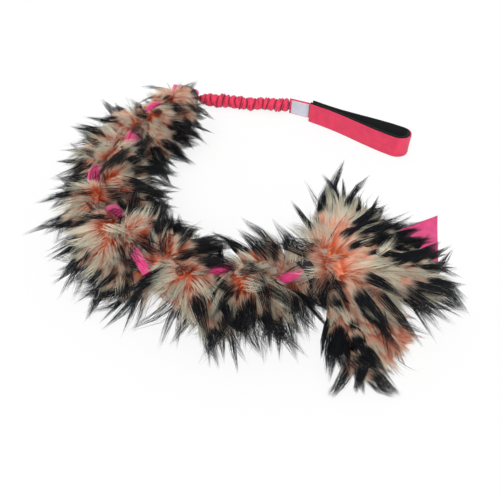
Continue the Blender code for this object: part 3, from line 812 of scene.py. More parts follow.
def finish(name):
    """The toy's finish of that name, made when it is first asked for. The threads' come with the solids."""
    cloth = bpy.context.scene.tug_toy_cloth
    makers = {
        "fur_hair": (fur_finish, False),
        "fur_skin": (fur_finish, True),
        "fleece_cloth": (fleece_finish, cloth.fleece),
        "webbing_cloth": (webbing_finish, cloth.webbing),
        "label_weave": (webbing_finish, cloth.label, 4200.0, 0.05, 0.7),
        "sleeve_cloth": (sleeve_finish, cloth.webbing, cloth.crease),
        "lining_knit": (knit_finish, cloth.lining),
        "whipping_cord": (cord_finish, cloth.cord),
        "elastic_cover": (cord_finish, (0.70, 0.68, 0.62)),
    }
    if name in makers and name not in bpy.data.materials:
        make, *values = makers[name]
        make(name, *values)
    return bpy.data.materials[name]


# Fur, stitches and cord


def fur_pile(inputs):
    """Hairs on a combed skin: each bends over along the comb and gathers to its tuft's tip."""
    g = Geometry("fur_pile", inputs)
    given = g.given
    length, seed = given["Length"], given["Seed"]

    def scatter(density, seed):
        feeds = {"Mesh": given["Geometry"], "Density": density, "Seed": seed}
        return g.add("GeometryNodeDistributePointsOnFaces", feeds)

    roots = scatter(given["Density"] * g.named("cover"), seed)
    place = g.add("GeometryNodeInputPosition")

    def reader(points):
        """Reads values at whichever of those points is nearest."""
        nearest = g.add("GeometryNodeSampleNearest", {"Geometry": points, "Sample Position": place})

        def read(value):
            kind = "FLOAT_VECTOR" if is_vector(value) else "FLOAT"
            feeds = {"Geometry": points, "Value": value, "Index": nearest}
            return g.add("GeometryNodeSampleIndex", feeds, data_type=kind)

        return read

    of_tuft = reader(scatter(given["Tufts"], seed + 50.0))
    of_streak = reader(scatter(given["Streaks"], seed + 90.0))
    (comb,), reach = g.vectors("comb"), g.named("reach")
    chance, stray = g.random(0.0, 3).split(), g.random(-1.0, 4)
    tuft_chance, tuft_stray = of_tuft(g.random(0.0, 5)).split(), of_tuft(g.random(-1.0, 6))
    streak_chance, streak_stray = of_streak(g.random(0.0, 7)).split(), of_streak(g.random(-1.0, 8))
    guard = chance[2].sum("GREATER_THAN", 0.4)
    wisp = chance[2].sum("GREATER_THAN", 0.985)

    # Black tufts are patches round their own points, stretched along the comb
    streak_place, streak_comb = of_streak(place), of_streak(comb)
    # The darkness that widens them holds painted shade on the braid, under it and inside its bend
    breadth = of_streak(g.named("dark")).by(1.6, streak_chance[0].by(0.65, 0.60))
    apart = place - streak_place
    lengthwise = apart.sum("DOT_PRODUCT", streak_comb) * 0.55
    streak_gap = (apart - streak_comb * lengthwise).length()
    black = streak_gap.sum("LESS_THAN", given["Streak"] * breadth)

    # The tuft's tip, and where the hair would reach by itself
    tuft_length = length * of_tuft(reach) * tuft_chance[0].by(0.55, 0.5)
    streak_length = length * of_streak(reach) * streak_chance[1].by(0.5, 0.95)
    tuft_length = g.mix(black, tuft_length * 0.84, streak_length)
    wild = g.join(*[given["Wildness"]] * 3)
    tuft_comb = g.mix(black, of_tuft(comb), streak_comb)
    tuft_aim = g.mix(black, tuft_stray, streak_stray).by(wild, tuft_comb).unit()
    tuft_tip = g.mix(black, of_tuft(place), streak_place) + tuft_aim * tuft_length
    own_length = length * reach * chance[0].by(0.5, 0.35) * wisp.by(0.5, 1.0)
    own_tip = place + stray.by((0.22, 0.22, 0.22), comb).unit() * own_length
    gather = given["Clump"] * chance[1].by(0.35, 0.65)
    gather = gather * guard.spread(0.0, 1.0, 0.45, 1.0) * wisp.spread(0.0, 1.0, 1.0, 0.5)
    gather = g.mix(black, gather, chance[1].by(0.1, 0.86))
    reachy = g.mix(gather, own_tip, tuft_tip) - place

    # Undercoat is shorter than guard hair, tips sink, and all stays in the room that hair has
    trimmed = guard.spread(0.0, 1.0, 0.62, 1.0) * chance[0].by(0.3, 0.78)
    trimmed = trimmed.sum("MAXIMUM", black * chance[0].by(0.2, 0.8))
    reachy = reachy * trimmed
    long = reachy.length()
    tip = place + reachy + g.join(0.0, 0.0, long * given["Droop"] * -1.0)
    give = g.join(*chance) * 0.006
    tip = tip.sum("MAXIMUM", given["Low"] + give).sum("MINIMUM", given["High"] - give)
    steep = black.by(0.35, 0.45)
    lift = roots.other("Normal").by(g.join(steep, steep, steep), comb).unit()
    middle = (place + lift * (long * 0.5)).sum("MAXIMUM", given["Low"]).sum("MINIMUM", given["High"])
    pale = tuft_chance[2].by(0.28, chance[1].by(0.06, 0.01))
    deep = chance[0].by(0.08, streak_chance[2].by(0.16, 0.80))
    tone = g.mix(black.sum("MAXIMUM", wisp), pale, deep)
    tone = g.add("ShaderNodeClamp", {0: tone, 1: 0.01, 2: 0.99})

    kept = {
        "root_at": place,
        "middle_at": middle,
        "tip_at": tip,
        "tone": tone,
        "blush_at": g.named("blush"),
        "wide": chance[2].by(0.6, 0.6),
    }
    points = roots
    for name, value in kept.items():
        points = g.store(points, name, value)
    cone = {"Vertices": 3, "Side Segments": given["Segments"], "Radius Top": 0.0, "Radius Bottom": 1.0}
    hair = g.add("GeometryNodeMeshCone", {**cone, "Depth": 1.0})
    x, y, z = place.split()
    hair = g.store(hair, "ring", g.join(x, y, 0.0).unit())
    hair = g.store(hair, "along", z)
    hairs = g.copies(points, hair)

    # Each cone is bent to a curve from root to tip
    along = g.named("along")
    back = 1.0 - along
    root_at, middle_at, tip_at, ring = g.vectors("root_at", "middle_at", "tip_at", "ring")
    line = root_at * (back * back) + middle_at * (along * back * 2.0) + tip_at * (along * along)
    chord = (tip_at - root_at).unit()
    across = g.calc("CROSS_PRODUCT", (0.36, -0.22, 0.91), chord).unit()
    upward = chord.sum("CROSS_PRODUCT", across)
    ring_x, ring_y, _ = ring.split()
    half = given["Width"] * 0.5 * ((1.0 - along * along) * g.named("wide"))
    line = line + (across * (ring_x * half) + upward * (ring_y * half))
    hairs = g.add("GeometryNodeSetPosition", {"Geometry": hairs, "Position": line})
    sheet_x = ring_x.by(0.004, g.named("tone"))
    sheet_y = along.by(g.named("blush_at").by(-0.62, 0.98), 0.01)
    hairs = g.store(hairs, UV_MAP, g.join(sheet_x, sheet_y, 0.0), "FLOAT2", "CORNER")
    for name in (*kept, "ring", "along", *COMBED):
        hairs = g.add("GeometryNodeRemoveAttribute", {"Geometry": hairs, "Name": name})
    return g.finish(hairs)


def stitch_row(inputs):
    """A row of rounded stitches along a path."""
    g = Geometry("stitch_row", inputs)
    given = g.given
    path = g.add("GeometryNodeMeshToCurve", {"Mesh": given["Geometry"]})
    long = g.add("GeometryNodeCurveLength", {"Curve": path})
    count = long.sum("DIVIDE", given["Pitch"]).sum("ROUND").sum("MAXIMUM", 2.0)
    points = g.add("GeometryNodeCurveToPoints", {"Curve": path, "Count": count}, mode="COUNT")
    stitch = g.add("GeometryNodeMeshUVSphere", {"Segments": 6, "Rings": 4, "Radius": 0.5})
    size = g.join(given["Width"], given["Width"], given["Length"])
    stitch = g.add("GeometryNodeTransform", {"Geometry": stitch, "Scale": size})
    return g.finish(g.copies(points, stitch, Rotation=points.other("Rotation")))


def cord_run(inputs):
    """Round cord along a path."""
    g = Geometry("cord_run", inputs)
    given = g.given
    path = g.add("GeometryNodeMeshToCurve", {"Mesh": given["Geometry"]})
    path = g.add("GeometryNodeResampleCurve", {"Curve": path, "Length": given["Step"]}, mode="LENGTH")
    ring = {"Resolution": given["Sides"], "Radius": given["Width"] * 0.5}
    ring = g.add("GeometryNodeCurvePrimitiveCircle", ring)
    cord = g.add("GeometryNodeCurveToMesh", {"Curve": path, "Profile Curve": ring, "Fill Caps": True})
    return g.finish(g.realized(cord))


def run_mesh(points, closed=False):
    """A path as a mesh of edges, for the trees that follow one."""
    mesh = bpy.data.meshes.new("run")
    last = len(points) - 1
    edges = [(k, k + 1) for k in range(last)] + [(last, 0)] * closed
    mesh.from_pydata(points.tolist(), edges, [])
    return mesh


def stitches(name, points, thread, closed=False, width=1.0):
    cloth = bpy.context.scene.tug_toy_cloth
    inputs = {"Pitch": cloth.stitch, "Length": cloth.stitch * 0.86, "Width": cloth.thread_width * width}
    return grow(name, run_mesh(points, closed), stitch_row, {**inputs, "Finish": finish(thread)})


def cord_along(name, points, cord, width, step, sides):
    inputs = {"Width": width, "Step": step, "Sides": sides, "Finish": finish(cord)}
    return grow(name, run_mesh(points), cord_run, inputs)


def settled(comb, normals, sink, lean):
    """A comb that neither presses into the floor, by more than sink, nor into its own skin."""
    comb = unit(comb)
    comb[:, 2] = np.where(normals[:, 2] < -0.2, np.maximum(comb[:, 2], -sink), comb[:, 2])
    outward = (comb * normals).sum(1)
    return unit(comb + normals * np.clip(lean - outward, 0.0, 1.0)[:, None])


def strip_cores(route):
    """The three braided strips by name."""
    places = {"fleece": (0, FLEECE_CORE), "lower": (1, FUR_CORE), "upper": (2, FUR_CORE)}
    phases = {name: FLEECE_PHASE + STRIP_PHASE * place for name, (place, _) in places.items()}
    return {name: Strand(route, phases[name], core) for name, (_, core) in places.items()}


def strip_skin(name, strips, which, first, last, sides=20):
    """The skin of one stretch of a strip. Its fur is combed away from partings, outwards from the braid and
    off the neighbouring strips."""
    own = strips[which]
    rows = slice(first, last)
    around = round_about(sides)[:, None]
    radial = own.top[rows, None] * np.cos(around) + own.side[rows, None] * np.sin(around)
    rings = own.centre[rows, None] + radial * own.radius[rows, None, None]
    rings[..., 2] = np.maximum(rings[..., 2], 0.0008)
    mesh = loft(name, rings)
    points, normals = rings.reshape(-1, 3), radial.reshape(-1, 3)

    def each(values):
        return np.repeat(values[rows], sides, axis=0)

    # Hair runs both ways from the partings, half a turn apart, and from the whippings at both ends
    from_parting = (own.angle - PARTING_TURN + 90.0) % 180.0 - 90.0
    run = np.clip(from_parting / 45.0, -1.0, 1.0)
    to_end = own.at[-1] - own.at
    run = np.where(to_end < 0.05, 0.5 - to_end / 0.03, run)
    run = np.where(own.at < 0.035, 1.0, run)
    run = np.where(own.at < 0.005, -0.9, run)
    out = np.clip(own.aside / 0.016, -1, 1)
    comb = each(own.left * out[:, None]) * 0.7
    comb += each(own.side) * np.tile(np.sin(around), (len(rings), 1)) * 0.55
    comb += each(own.run) * each(run)[:, None] * 0.55
    comb += normals * 0.38
    cover = np.ones(len(points))
    for other, strand in strips.items():
        if other == which:
            continue
        apart = points[:, None] - strand.centre[None]
        gap = np.linalg.norm(apart, axis=2) - strand.radius[None]
        nearest = (np.arange(len(points)), gap.argmin(1))
        gap = gap[nearest]
        cover *= np.clip((gap + 0.001) / 0.004, 0.04, 1.0)
        comb += unit(apart[nearest]) * np.clip(1.0 - gap / 0.012, 0.0, 1.0)[:, None] * 0.45
    comb = settled(comb, normals, sink=0.08, lean=0.12)
    cover *= np.where(normals[:, 2] < -0.45, 0.3, 1.0)
    grown = 0.16 + 0.22 * ease(own.at, 0.0, 0.012) + 0.40 * ease(own.at, 0.0, 0.07)
    grown += 0.22 * ease(own.at, 0.0, 0.25)
    # Painted shade: the darkness, which widens the black tufts, rises where the skin faces down and on the
    # inner side of the bend, where the pile lies in shadow
    inner = (comb * each(own.left)).sum(1)
    dark = 0.05 + np.clip(-normals[:, 2], 0.0, 1.0) * 0.3 + np.clip(inner, 0.0, 1.0) * 0.3
    dark += each(0.1 * ease(own.at, 0.35, 0.1))
    dark += each(0.6 * ease(own.at, 0.0, 0.04) + 0.4 * ease(own.at, 0.0, 0.14) - 1.0)
    blush = each(0.7 - 0.7 * ease(own.at, 0.0, 0.18))
    mark(mesh, comb=comb, reach=each(grown), cover=cover, dark=dark, blush=blush)
    return mesh, cover


def tail_skin(name, tail, sides=24, count=22):
    """Cloth of a tail, with its comb: away from the binding, up and out."""
    found = follow(tail.rows, np.linspace(tail.rows[0, 0], tail.rows[-1, 0], count))
    around = 2 * math.pi * (np.arange(sides) + 0.5) / sides
    ahead, left = ways(tail.heading)
    middle = ahead * found[:, :1] + left * found[:, 1:2]
    wide = found[:, 2:3] * np.cos(around)
    high = np.maximum(found[:, 4:5] + found[:, 3:4] * np.sin(around), 0.0012)
    rings = middle[:, None] + left * wide[..., None] + (0, 0, 1) * high[..., None]
    rings -= ahead * (wide * tail.slant * past(found[:, :1], 0.0, 0.1))[..., None]
    rings += tassel_foot()
    mesh = loft(name, rings)
    from_hinge = (rings.reshape(-1, 3) - tassel_foot()) * (1, 1, 0)
    along, aside = from_hinge @ ahead, from_hinge @ left
    normals = unit(left * (np.cos(around) * 0.5)[:, None] + (0, 0, 1) * np.sin(around)[:, None])
    normals = np.tile(normals, (count, 1))
    start, *ends = tail.parting
    apart = aside - np.clip(aside, *ends)
    comb = unit(ahead * (along - start)[:, None] + left * apart[:, None] * tail.fan)
    comb += normals * 0.32
    comb[:, 2] += tail.rise * past(aside, 0.0, 0.02) * past(along, 0.02, 0.03)
    comb = settled(comb, normals, sink=0.05, lean=0.1)
    cover = np.where(normals[:, 2] < -0.3, 0.3, 1.0)
    return mesh, comb, cover, along, aside


def fur_limits():
    """The room that loose hair has: the solids' box and a little more, above the floor."""
    low, high = (np.array(corner) for corner in cad_box)
    room = (high - low) * 0.03 + 0.009
    low, high = low - room, high + room
    low[2] = 0.0009
    return tuple(low), tuple(high)


def pile(name, mesh, cover, hairs, seed, body):
    """Grows the pile of one stretch of skin."""
    fur = bpy.context.scene.tug_toy_fur
    low, high = fur_limits()
    inputs = {"Density": float(hairs / face_weights(mesh, cover)), "Low": low, "High": high}
    for size in ("tufts", "streaks", "streak", "length", "width", "clump", "wildness", "droop"):
        inputs[size.capitalize()] = getattr(fur, size)
    inputs.update({"Segments": 3, "Seed": seed, "Finish": finish("fur_hair")})
    dress(grow(name, mesh, fur_pile, inputs), body, "faux_fur")


class TUGTOY_OT_fur_strips(bpy.types.Operator):
    """Makes the braid's two fur strips: a skin each, and their pile"""

    bl_idname = "tugtoy.fur_strips"
    bl_label = "Fur strips"

    def execute(self, context):
        hairs = context.scene.tug_toy_fur.strip_hairs
        strips = strip_cores(Route())
        seed = STRIP_SEED
        for which in ("upper", "lower"):
            name = "fur_skin_" + which
            count = len(strips[which].at)
            mesh, _ = strip_skin(name, strips, which, 0, count)
            for field in COMBED:
                mesh.attributes.remove(mesh.attributes[field])
            dress(show(name, mesh, finish("fur_skin")), "braid", "faux_fur", "fur_strip_" + which)
            for third in range(3):
                last = min(count * (third + 1) // 3 + 1, count)
                mesh, cover = strip_skin("pile_base", strips, which, count * third // 3, last)
                seed += 1
                pile(f"fur_pile_{which}_{third + 1}", mesh, cover, hairs, seed, "braid")
        return {"FINISHED"}


class TUGTOY_OT_fur_tails(bpy.types.Operator):
    """Makes the tassel's two fur tails: a skin each, and their pile"""

    bl_idname = "tugtoy.fur_tails"
    bl_label = "Fur tails"

    def execute(self, context):
        hairs = context.scene.tug_toy_fur.tail_hairs
        for which, tail in TAILS.items():
            name = "fur_skin_tail_" + which
            mesh, comb, cover, along, aside = tail_skin(name, tail)
            skin = show(name, mesh, finish("fur_skin"))
            dress(skin, tail.body, "faux_fur", "fur_tail_" + which)
            trim = np.clip((aside + 0.01) / 0.03, -0.4, 1.0) * past(along, 0.03, 0.04)
            flare = np.clip(1.0 - along / 0.04, 0.0, 1.0) * 0.25
            end = 1.0 - tail.short * past(along, 0.04, 0.05)
            reach = tail.reach * (0.95 + flare - 0.45 * trim) * end
            blush = tail.blush * past(aside, -0.012, 0.012) * past(along, 0.02, 0.03)
            dark = tail.shade * past(-aside, 0.0, 0.02) - 0.3 * blush
            dark += 0.04 - 0.2 * past(aside, 0.0, 0.02) * past(along, 0.03, 0.03)
            for part in range(tail.parts):
                base = mesh.copy()
                share = cover if tail.parts == 1 else cover * ((aside > 0) == (part == 0))
                mark(base, comb=comb, reach=reach, cover=share, dark=dark, blush=blush)
                pile(f"fur_pile_tail_{which}_{part + 1}", base, share, hairs, tail.seed + part, tail.body)
        return {"FINISHED"}


class TUGTOY_OT_fleece_strip(bpy.types.Operator):
    """Makes the fleece strip: a rolled strip of fleece through the strap's eye and down the braid"""

    bl_idname = "tugtoy.fleece_strip"
    bl_label = "Fleece strip"

    def execute(self, context):
        turns = context.scene.tug_toy_cloth.roll_turns
        route = Route()
        strand = Strand(route, FLEECE_PHASE, FLEECE_CORE, 0.008)
        first = strand.centre[0]
        eye = np.array([*BRAID_START, 0.0]) + route.shift + (*EYE_FROM_BRAID, 0.0)
        toward = unit((first - eye) * (1, 1, 0))
        rim = eye + toward * (FLEECE_RADIUS + EYE_CLEARANCE + STRAP_THICKNESS / 2)
        rim[2] = SLEEVE_RADIUS + STRAP_WIDTH / 2 + BIGHT_RIM_RADIUS + 2 * GAP
        upright = [(eye[0], eye[1], z) for z in (BIGHT_FOOT, SLEEVE_RADIUS, rim[2] - 0.0015)]
        entry = first - turn_to(BRAID_START_HEADING) * BIGHT_ENTRY
        path = np.vstack([*upright, rim, entry, strand.centre])
        radii = [FLEECE_RADIUS, FLEECE_RADIUS, FLEECE_RADIUS * 0.95, BIGHT_RIM_RADIUS, FLEECE_BOUND_RADIUS]
        path, radius = resample(path, 0.003, np.concatenate([radii, strand.radius]))
        run = unit(np.gradient(path, axis=0))
        side = np.zeros_like(run)
        side[0] = (0.0, 1.0, 0.0)
        for k in range(1, len(run)):
            side[k] = unit(side[k - 1] - run[k] * (side[k - 1] @ run[k]))
        up = np.cross(run, side)
        at = distances(path)
        steps = np.linspace(0.0, 2 * math.pi * turns, 34)
        start = 0.8 + 1.1 * np.sin(at * 21.0)
        shrink = steps / (2 * math.pi) * (FLEECE_CLOTH + 0.0006)
        rings = []
        for depth, order in ((0.0, 1), (FLEECE_CLOTH, -1)):
            angle = start[:, None] + steps[None, ::order]
            wrinkle = 0.0005 * np.sin(3 * angle + at[:, None] * 130.0)
            wrinkle = wrinkle + 0.0004 * np.sin(5 * angle - at[:, None] * 210.0)
            out = np.maximum(radius[:, None] - shrink[None, ::order] - depth + wrinkle, 0.0008)
            sideways = side[:, None] * (np.cos(angle) * out)[..., None]
            rings.append(sideways + up[:, None] * (np.sin(angle) * out)[..., None])
        rings = path[:, None] + np.concatenate(rings, axis=1)
        rings[..., 2] = np.maximum(rings[..., 2], FLOOR_GAP)
        mesh = loft("fleece_strip_roll", rings)
        strip = show("fleece_strip_roll", mesh, finish("fleece_cloth"))
        dress(strip, "braid", "pink_fleece", "fleece_strip")
        return {"FINISHED"}


class TUGTOY_OT_fleece_tail(bpy.types.Operator):
    """Makes the fleece's loose end: bunched at the binding, then flat with a slanting cut"""

    bl_idname = "tugtoy.fleece_tail"
    bl_label = "Fleece tail"

    def execute(self, context):
        root = FLEECE_TAIL[0][0]
        at = np.linspace(root, FLEECE_TAIL_LENGTH, 70)
        found = follow(FLEECE_TAIL, at)
        across = np.linspace(-1.0, 1.0, 41)
        skew = FLEECE_TAIL_SKEW * ease(at / FLEECE_TAIL_LENGTH)
        ahead, left = turn_to(FLEECE_TAIL_HEADING), turn_to(FLEECE_TAIL_HEADING + 90.0 + skew)
        left = left / np.cos(np.radians(skew))[:, None]
        flat = ahead * found[:, None, :1] + left[:, None] * (found[:, 1:2] * across)[..., None]
        bunch = (1.0 - ease(at, 0.012, 0.05))[:, None]
        pleats = np.sin(across * 9.0)[None] * bunch * 0.0035
        ripple = 0.0012 * np.sin(across[None] * 3.1 + at[:, None] * 55.0) * (1 - bunch)
        curl = 0.0022 * np.abs(across[None]) ** 6 * (1 - bunch)
        height = found[:, 2:3] + pleats + np.maximum(ripple, -0.0004) + curl
        rings = []
        for face, order in ((1, 1), (-1, -1)):
            edge = np.clip((1 - np.abs(across[::order])) * 12, 0.25, 1.0) ** 0.5
            z = height[:, ::order] + face * FLEECE_THICKNESS / 2 * edge[None]
            points = flat[:, ::order].copy()
            points[..., 2] = np.maximum(z, FLOOR_GAP)
            rings.append(points)
        mesh = loft("fleece_tail_sheet", np.concatenate(rings, axis=1) + tassel_foot())
        tail = show("fleece_tail_sheet", mesh, finish("fleece_cloth"))
        dress(tail, "tassel", "pink_fleece", "fleece_tail")
        return {"FINISHED"}


class TUGTOY_OT_whippings(bpy.types.Operator):
    """Winds the cord round the bound strips at both ends of the braid"""

    bl_idname = "tugtoy.whippings"
    bl_label = "Whippings"

    def execute(self, context):
        route = Route()
        inner = BOUND_SPREAD + FUR_BOUND_RADIUS + 0.0006 + CORD_RADIUS
        for name, (at, turns) in WHIPPINGS.items():
            at = at % route.length
            centre = route.place(np.array(at)) + (0.0, 0.0, BOUND_HEIGHT)
            ahead, left = ways(route.heading(at))
            wind = np.linspace(0.0, 2 * math.pi * (turns - 1), 40 * turns)
            along = np.linspace(-1, 1, len(wind)) * CORD_RADIUS * (turns - 1)
            points = centre + ahead * along[:, None] + left * (np.cos(wind) * inner)[:, None]
            points = points + (0, 0, 1) * (np.sin(wind) * inner)[:, None]
            cord = {"width": CORD_RADIUS * 2, "step": 0.0015, "sides": 8}
            coil = cord_along(f"whipping_{name}_cord", points, "whipping_cord", **cord)
            dress(coil, "braid", "dark_cord", f"{name}_whipping")
        return {"FINISHED"}


# The lead and the handle


class TUGTOY_OT_sleeve(bpy.types.Operator):
    """Makes the ruched sleeve: a webbing tube gathered on its elastic"""

    bl_idname = "tugtoy.sleeve"
    bl_label = "Ruched sleeve"

    def execute(self, context):
        count = context.scene.tug_toy_cloth.gathers
        chance = np.random.default_rng(GATHER_SEED)
        sleeve = frames()[1]
        start = STRAP_WIDTH / 2 + 2 * GAP
        first, last = start + 0.003, SLEEVE_LENGTH - 0.0008
        spacing = 0.7 + 0.8 * chance.random(count)
        valleys = first + np.concatenate([[0.0], np.cumsum(spacing)]) / spacing.sum() * (last - first)
        swell = 0.62 + 0.34 * chance.random(count)
        lean, bulge, tuck = chance.random((3, count + 1)) * 2 * math.pi
        fullest = [round(count * 0.18), round(count * 0.86)]
        swell[[0, *fullest]] = (0.62, 1.15, 1.08)
        bulge[fullest] = (1.5, -1.5)
        x = np.linspace(start, SLEEVE_LENGTH, 480)
        around = round_about(64)
        hollow = SLEEVE_RADIUS * 0.58
        shape, fold = np.zeros((2, len(x), len(around)))
        for column, angle in enumerate(around):
            sway = 0.0024 * np.sin(angle + lean) + 0.0010 * np.sin(2 * angle + 2.3 * lean)
            sway[0] = sway[-1] = 0.0
            edges = valleys + sway
            k = np.clip(np.searchsorted(edges, x, side="right") - 1, 0, count - 1)
            share = past(x, edges[k], np.maximum(edges[k + 1] - edges[k], 1e-4))
            crease = 0.5 + 0.22 * np.sin(angle + tuck[k])
            deep = 0.45 * np.clip(0.6 + np.sin(2 * angle + tuck[k]), 0, 1)
            ridge = np.sin(math.pi * share) ** 0.45 * (1.0 - deep * np.exp(-(((share - crease) / 0.09) ** 2)))
            tall = swell[k] * (1.0 + 0.26 * np.cos(angle - bulge[k]) + 0.07 * np.sin(3 * angle + bulge[k]))
            low = hollow * (0.95 + 0.06 * np.cos(2 * angle + lean[k]))
            fold[:, column] = ridge
            shape[:, column] = low + (SLEEVE_RADIUS - hollow) * ridge * tall
        collar = 1.0 - ease(x, start, 0.010)
        shape = shape + (COLLAR_RADIUS - shape) * collar[:, None]
        centre = np.stack([x, 0 * x, line_rise(x)], -1)
        rings = centre[:, None] + np.stack([0 * shape, np.cos(around) * shape, np.sin(around) * shape], -1)
        rings[..., 2] = np.maximum(rings[..., 2], -SLEEVE_RADIUS + FLOOR_GAP)
        mesh = loft("ruched_sleeve_tube", sleeve.out(rings))
        # The folds' height, which the sleeve's finish turns into painted shade in the creases
        mark(mesh, fold=fold.ravel())
        map_sheet(mesh, np.repeat(x, len(around)) * 4, np.tile(around / (2 * math.pi), len(x)))
        tube = show("ruched_sleeve_tube", mesh, finish("sleeve_cloth"))
        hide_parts("ruched_sleeve")
        sleeve.out((first, 0, 0))
        sleeve.out((SLEEVE_LENGTH, 0, 0))
        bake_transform(tube)
        core = frame["nodes"]["elastic_core"].data.materials
        core.clear()
        core.append(finish("elastic_cover"))
        return {"FINISHED"}


def zigzag(low, high, count, face, height):
    """Thread that goes up and down a face, from one x to another."""
    z = height * (1 - 2 * (np.arange(count) % 2))
    return np.stack([np.linspace(low, high, count), np.full(count, face), z], -1)


def rectangle(low, high, face, half_height):
    """Corners of an upright rectangle in the plane y = face."""
    corners = np.array([(low, half_height), (high, half_height), (high, -half_height), (low, -half_height)])
    return np.insert(corners, 1, face, axis=1)


class TUGTOY_OT_strap(bpy.types.Operator):
    """Makes the strap: webbing folded round the fleece and sewn to itself, with its bar tack"""

    bl_idname = "tugtoy.strap"
    bl_label = "Strap"

    def execute(self, context):
        strap = frames()[0]
        middle = FLEECE_RADIUS + EYE_CLEARANCE + STRAP_THICKNESS / 2
        meet = middle + 0.009
        tip = STRAP_REACH + STRAP_WIDTH / 2
        arm = np.array([(x, STRAP_THICKNESS / 2, 0.0) for x in np.linspace(tip, meet, 9)])
        bend = math.degrees(math.acos(middle / meet))
        ring = turn_to(np.linspace(bend, 360 - bend, 30)) * middle
        path = strap.out(np.vstack([arm, ring, arm[::-1] * (1, -1, 1)]))
        web = finish("webbing_cloth")
        band = strap_band("strap_loop_webbing", path, STRAP_THICKNESS * 0.92, STRAP_WIDTH, web, step=0.0012)
        round_end(band.data, strap.out((STRAP_REACH, 0, 0)), turn_to(BUNGEE_HEADING), STRAP_WIDTH / 2)
        dress(band, "strap", "pink_webbing", "strap_loop")
        points = zigzag(*STRAP_TACK, count=15, face=-(STRAP_THICKNESS + 0.0003), height=0.0038)
        thread = {"width": 0.0007, "step": 0.0006, "sides": 6}
        tack = cord_along("strap_bar_tack_thread", strap.out(points), "pink_thread", **thread)
        dress(tack, "strap", "pink_thread", "strap_bar_tack")
        return {"FINISHED"}


class TUGTOY_OT_handle(bpy.types.Operator):
    """Makes the neck and the hand loop: webbing outside, padded black lining inside"""

    bl_idname = "tugtoy.handle"
    bl_label = "Handle"

    def execute(self, context):
        web, knit = finish("webbing_cloth"), finish("lining_knit")
        _, _, neck, loop = frames()
        seam = neck_points()[-1] + turn_to(NECK_TURN + LOOP_TURN) * np.linspace(0, SEAM_LENGTH, 8)[1:, None]
        path = neck.out(np.vstack([neck_points(), seam]))
        band = strap_band("neck_band", path, NECK_THICKNESS * 0.9, NECK_WIDTH, web)
        dress(band, "handle", "pink_webbing", "neck_webbing")
        path = loop.out(loop_path(LINING_THICKNESS + GAP + LOOP_WEB_THICKNESS / 2))
        band = strap_band("hand_loop_webbing", path, LOOP_WEB_THICKNESS, LOOP_WEB_WIDTH, web, wave=0.004)
        dress(band, "handle", "pink_webbing", "handle_webbing")
        path = loop.out(loop_path(LINING_THICKNESS / 2))
        thick, crown = LINING_THICKNESS * 0.72, LINING_THICKNESS * 0.14
        pad = strap_band("hand_loop_padding", path, thick, LINING_WIDTH, knit, crown, wave=0.006)
        dress(pad, "handle", "black_lining", "handle_lining")
        return {"FINISHED"}


class TUGTOY_OT_sewing(bpy.types.Operator):
    """Makes the handle's stitching: edge rows, the seam's box and the neck's bar tack"""

    bl_idname = "tugtoy.sewing"
    bl_label = "Sewing"

    def execute(self, context):
        _, _, neck, loop = frames()
        outside = LINING_THICKNESS + GAP + LOOP_WEB_THICKNESS + 0.0001
        for name, side in (("top", 1), ("bottom", -1)):
            height = (0.0, 0.0, side * (LOOP_WEB_WIDTH / 2 - STITCH_INSET))
            row = stitches(f"edge_row_{name}", loop.out(loop_path(outside) + height), "pink_thread")
            dress(row, "handle", "pink_thread", "edge_stitch_" + name)
        face = -(NECK_THICKNESS / 2 + GAP + outside)
        box = rectangle(STITCH_INSET, SEAM_LENGTH - STITCH_INSET, face, LOOP_WEB_WIDTH / 2 - 2 * STITCH_INSET)
        row = stitches("seam_box_row", loop.out(box), "pink_thread", closed=True)
        dress(row, "handle", "pink_thread", "seam_box_stitch")
        middle = LABEL_FROM_SLEEVE / 2
        half = 0.0012
        points = zigzag(middle - half, middle + half, count=9, face=-NECK_FACE, height=NECK_WIDTH * 0.4)
        points = neck.on(neck_points()[0], NECK_TURN).out(points)
        thread = {"width": 0.0006, "step": 0.0015, "sides": 6}
        tack = cord_along("neck_bar_tack_thread", points, "pink_thread", **thread)
        dress(tack, "handle", "pink_thread", "neck_bar_tack")
        return {"FINISHED"}


class TUGTOY_OT_label(bpy.types.Operator):
    """Makes the bare cloth label on the neck and its row of white thread"""

    bl_idname = "tugtoy.label"
    bl_label = "Label"

    def execute(self, context):
        at_neck = frames()[2].on(neck_points()[0], NECK_TURN)
        xs = LABEL_FROM_SLEEVE + np.linspace(0.0, LABEL_LENGTH, 14)
        bow = 0.00025 * np.sin(np.linspace(0, math.pi, 14))
        path = at_neck.out(np.stack([xs, -(NECK_FACE + LABEL_THICKNESS / 2 + bow), 0 * xs], -1))
        weave = finish("label_weave")
        label = strap_band("label_cloth_piece", path, LABEL_THICKNESS, LABEL_WIDTH, weave, step=0.001)
        dress(label, "handle", "label_cloth", "label")
        inset = LABEL_STITCH_INSET
        face = -(NECK_FACE + LABEL_THICKNESS + 0.0003)
        corners = rectangle(xs[0] + inset, xs[-1] - inset, face, LABEL_WIDTH / 2 - inset)
        row = stitches("label_row", at_neck.out(corners), "white_thread", closed=True, width=0.55)
        dress(row, "handle", "white_thread", "label_stitch")
        return {"FINISHED"}


# Stage: the camera stands as far back as up, and looks halfway down at the braid's bend
CAMERA_AWAY = 0.4165
CAMERA_TILT = 45.0
LENS_MM = 36.36
FLOOR_HALF = 12.0
LAMPS = {"key": (1.25, 34.0, (38.0, -18.0, 0.0)), "fill": (0.45, 60.0, (50.0, 30.0, 0.0))}


def seen_by(bench, *rays):
    """One where one of those rays looks, and zero elsewhere."""
    seen = path = bench.add("ShaderNodeLightPath", out=rays[0])
    for ray in rays[1:]:
        seen = seen.sum("MAXIMUM", path.other(ray))
    return seen


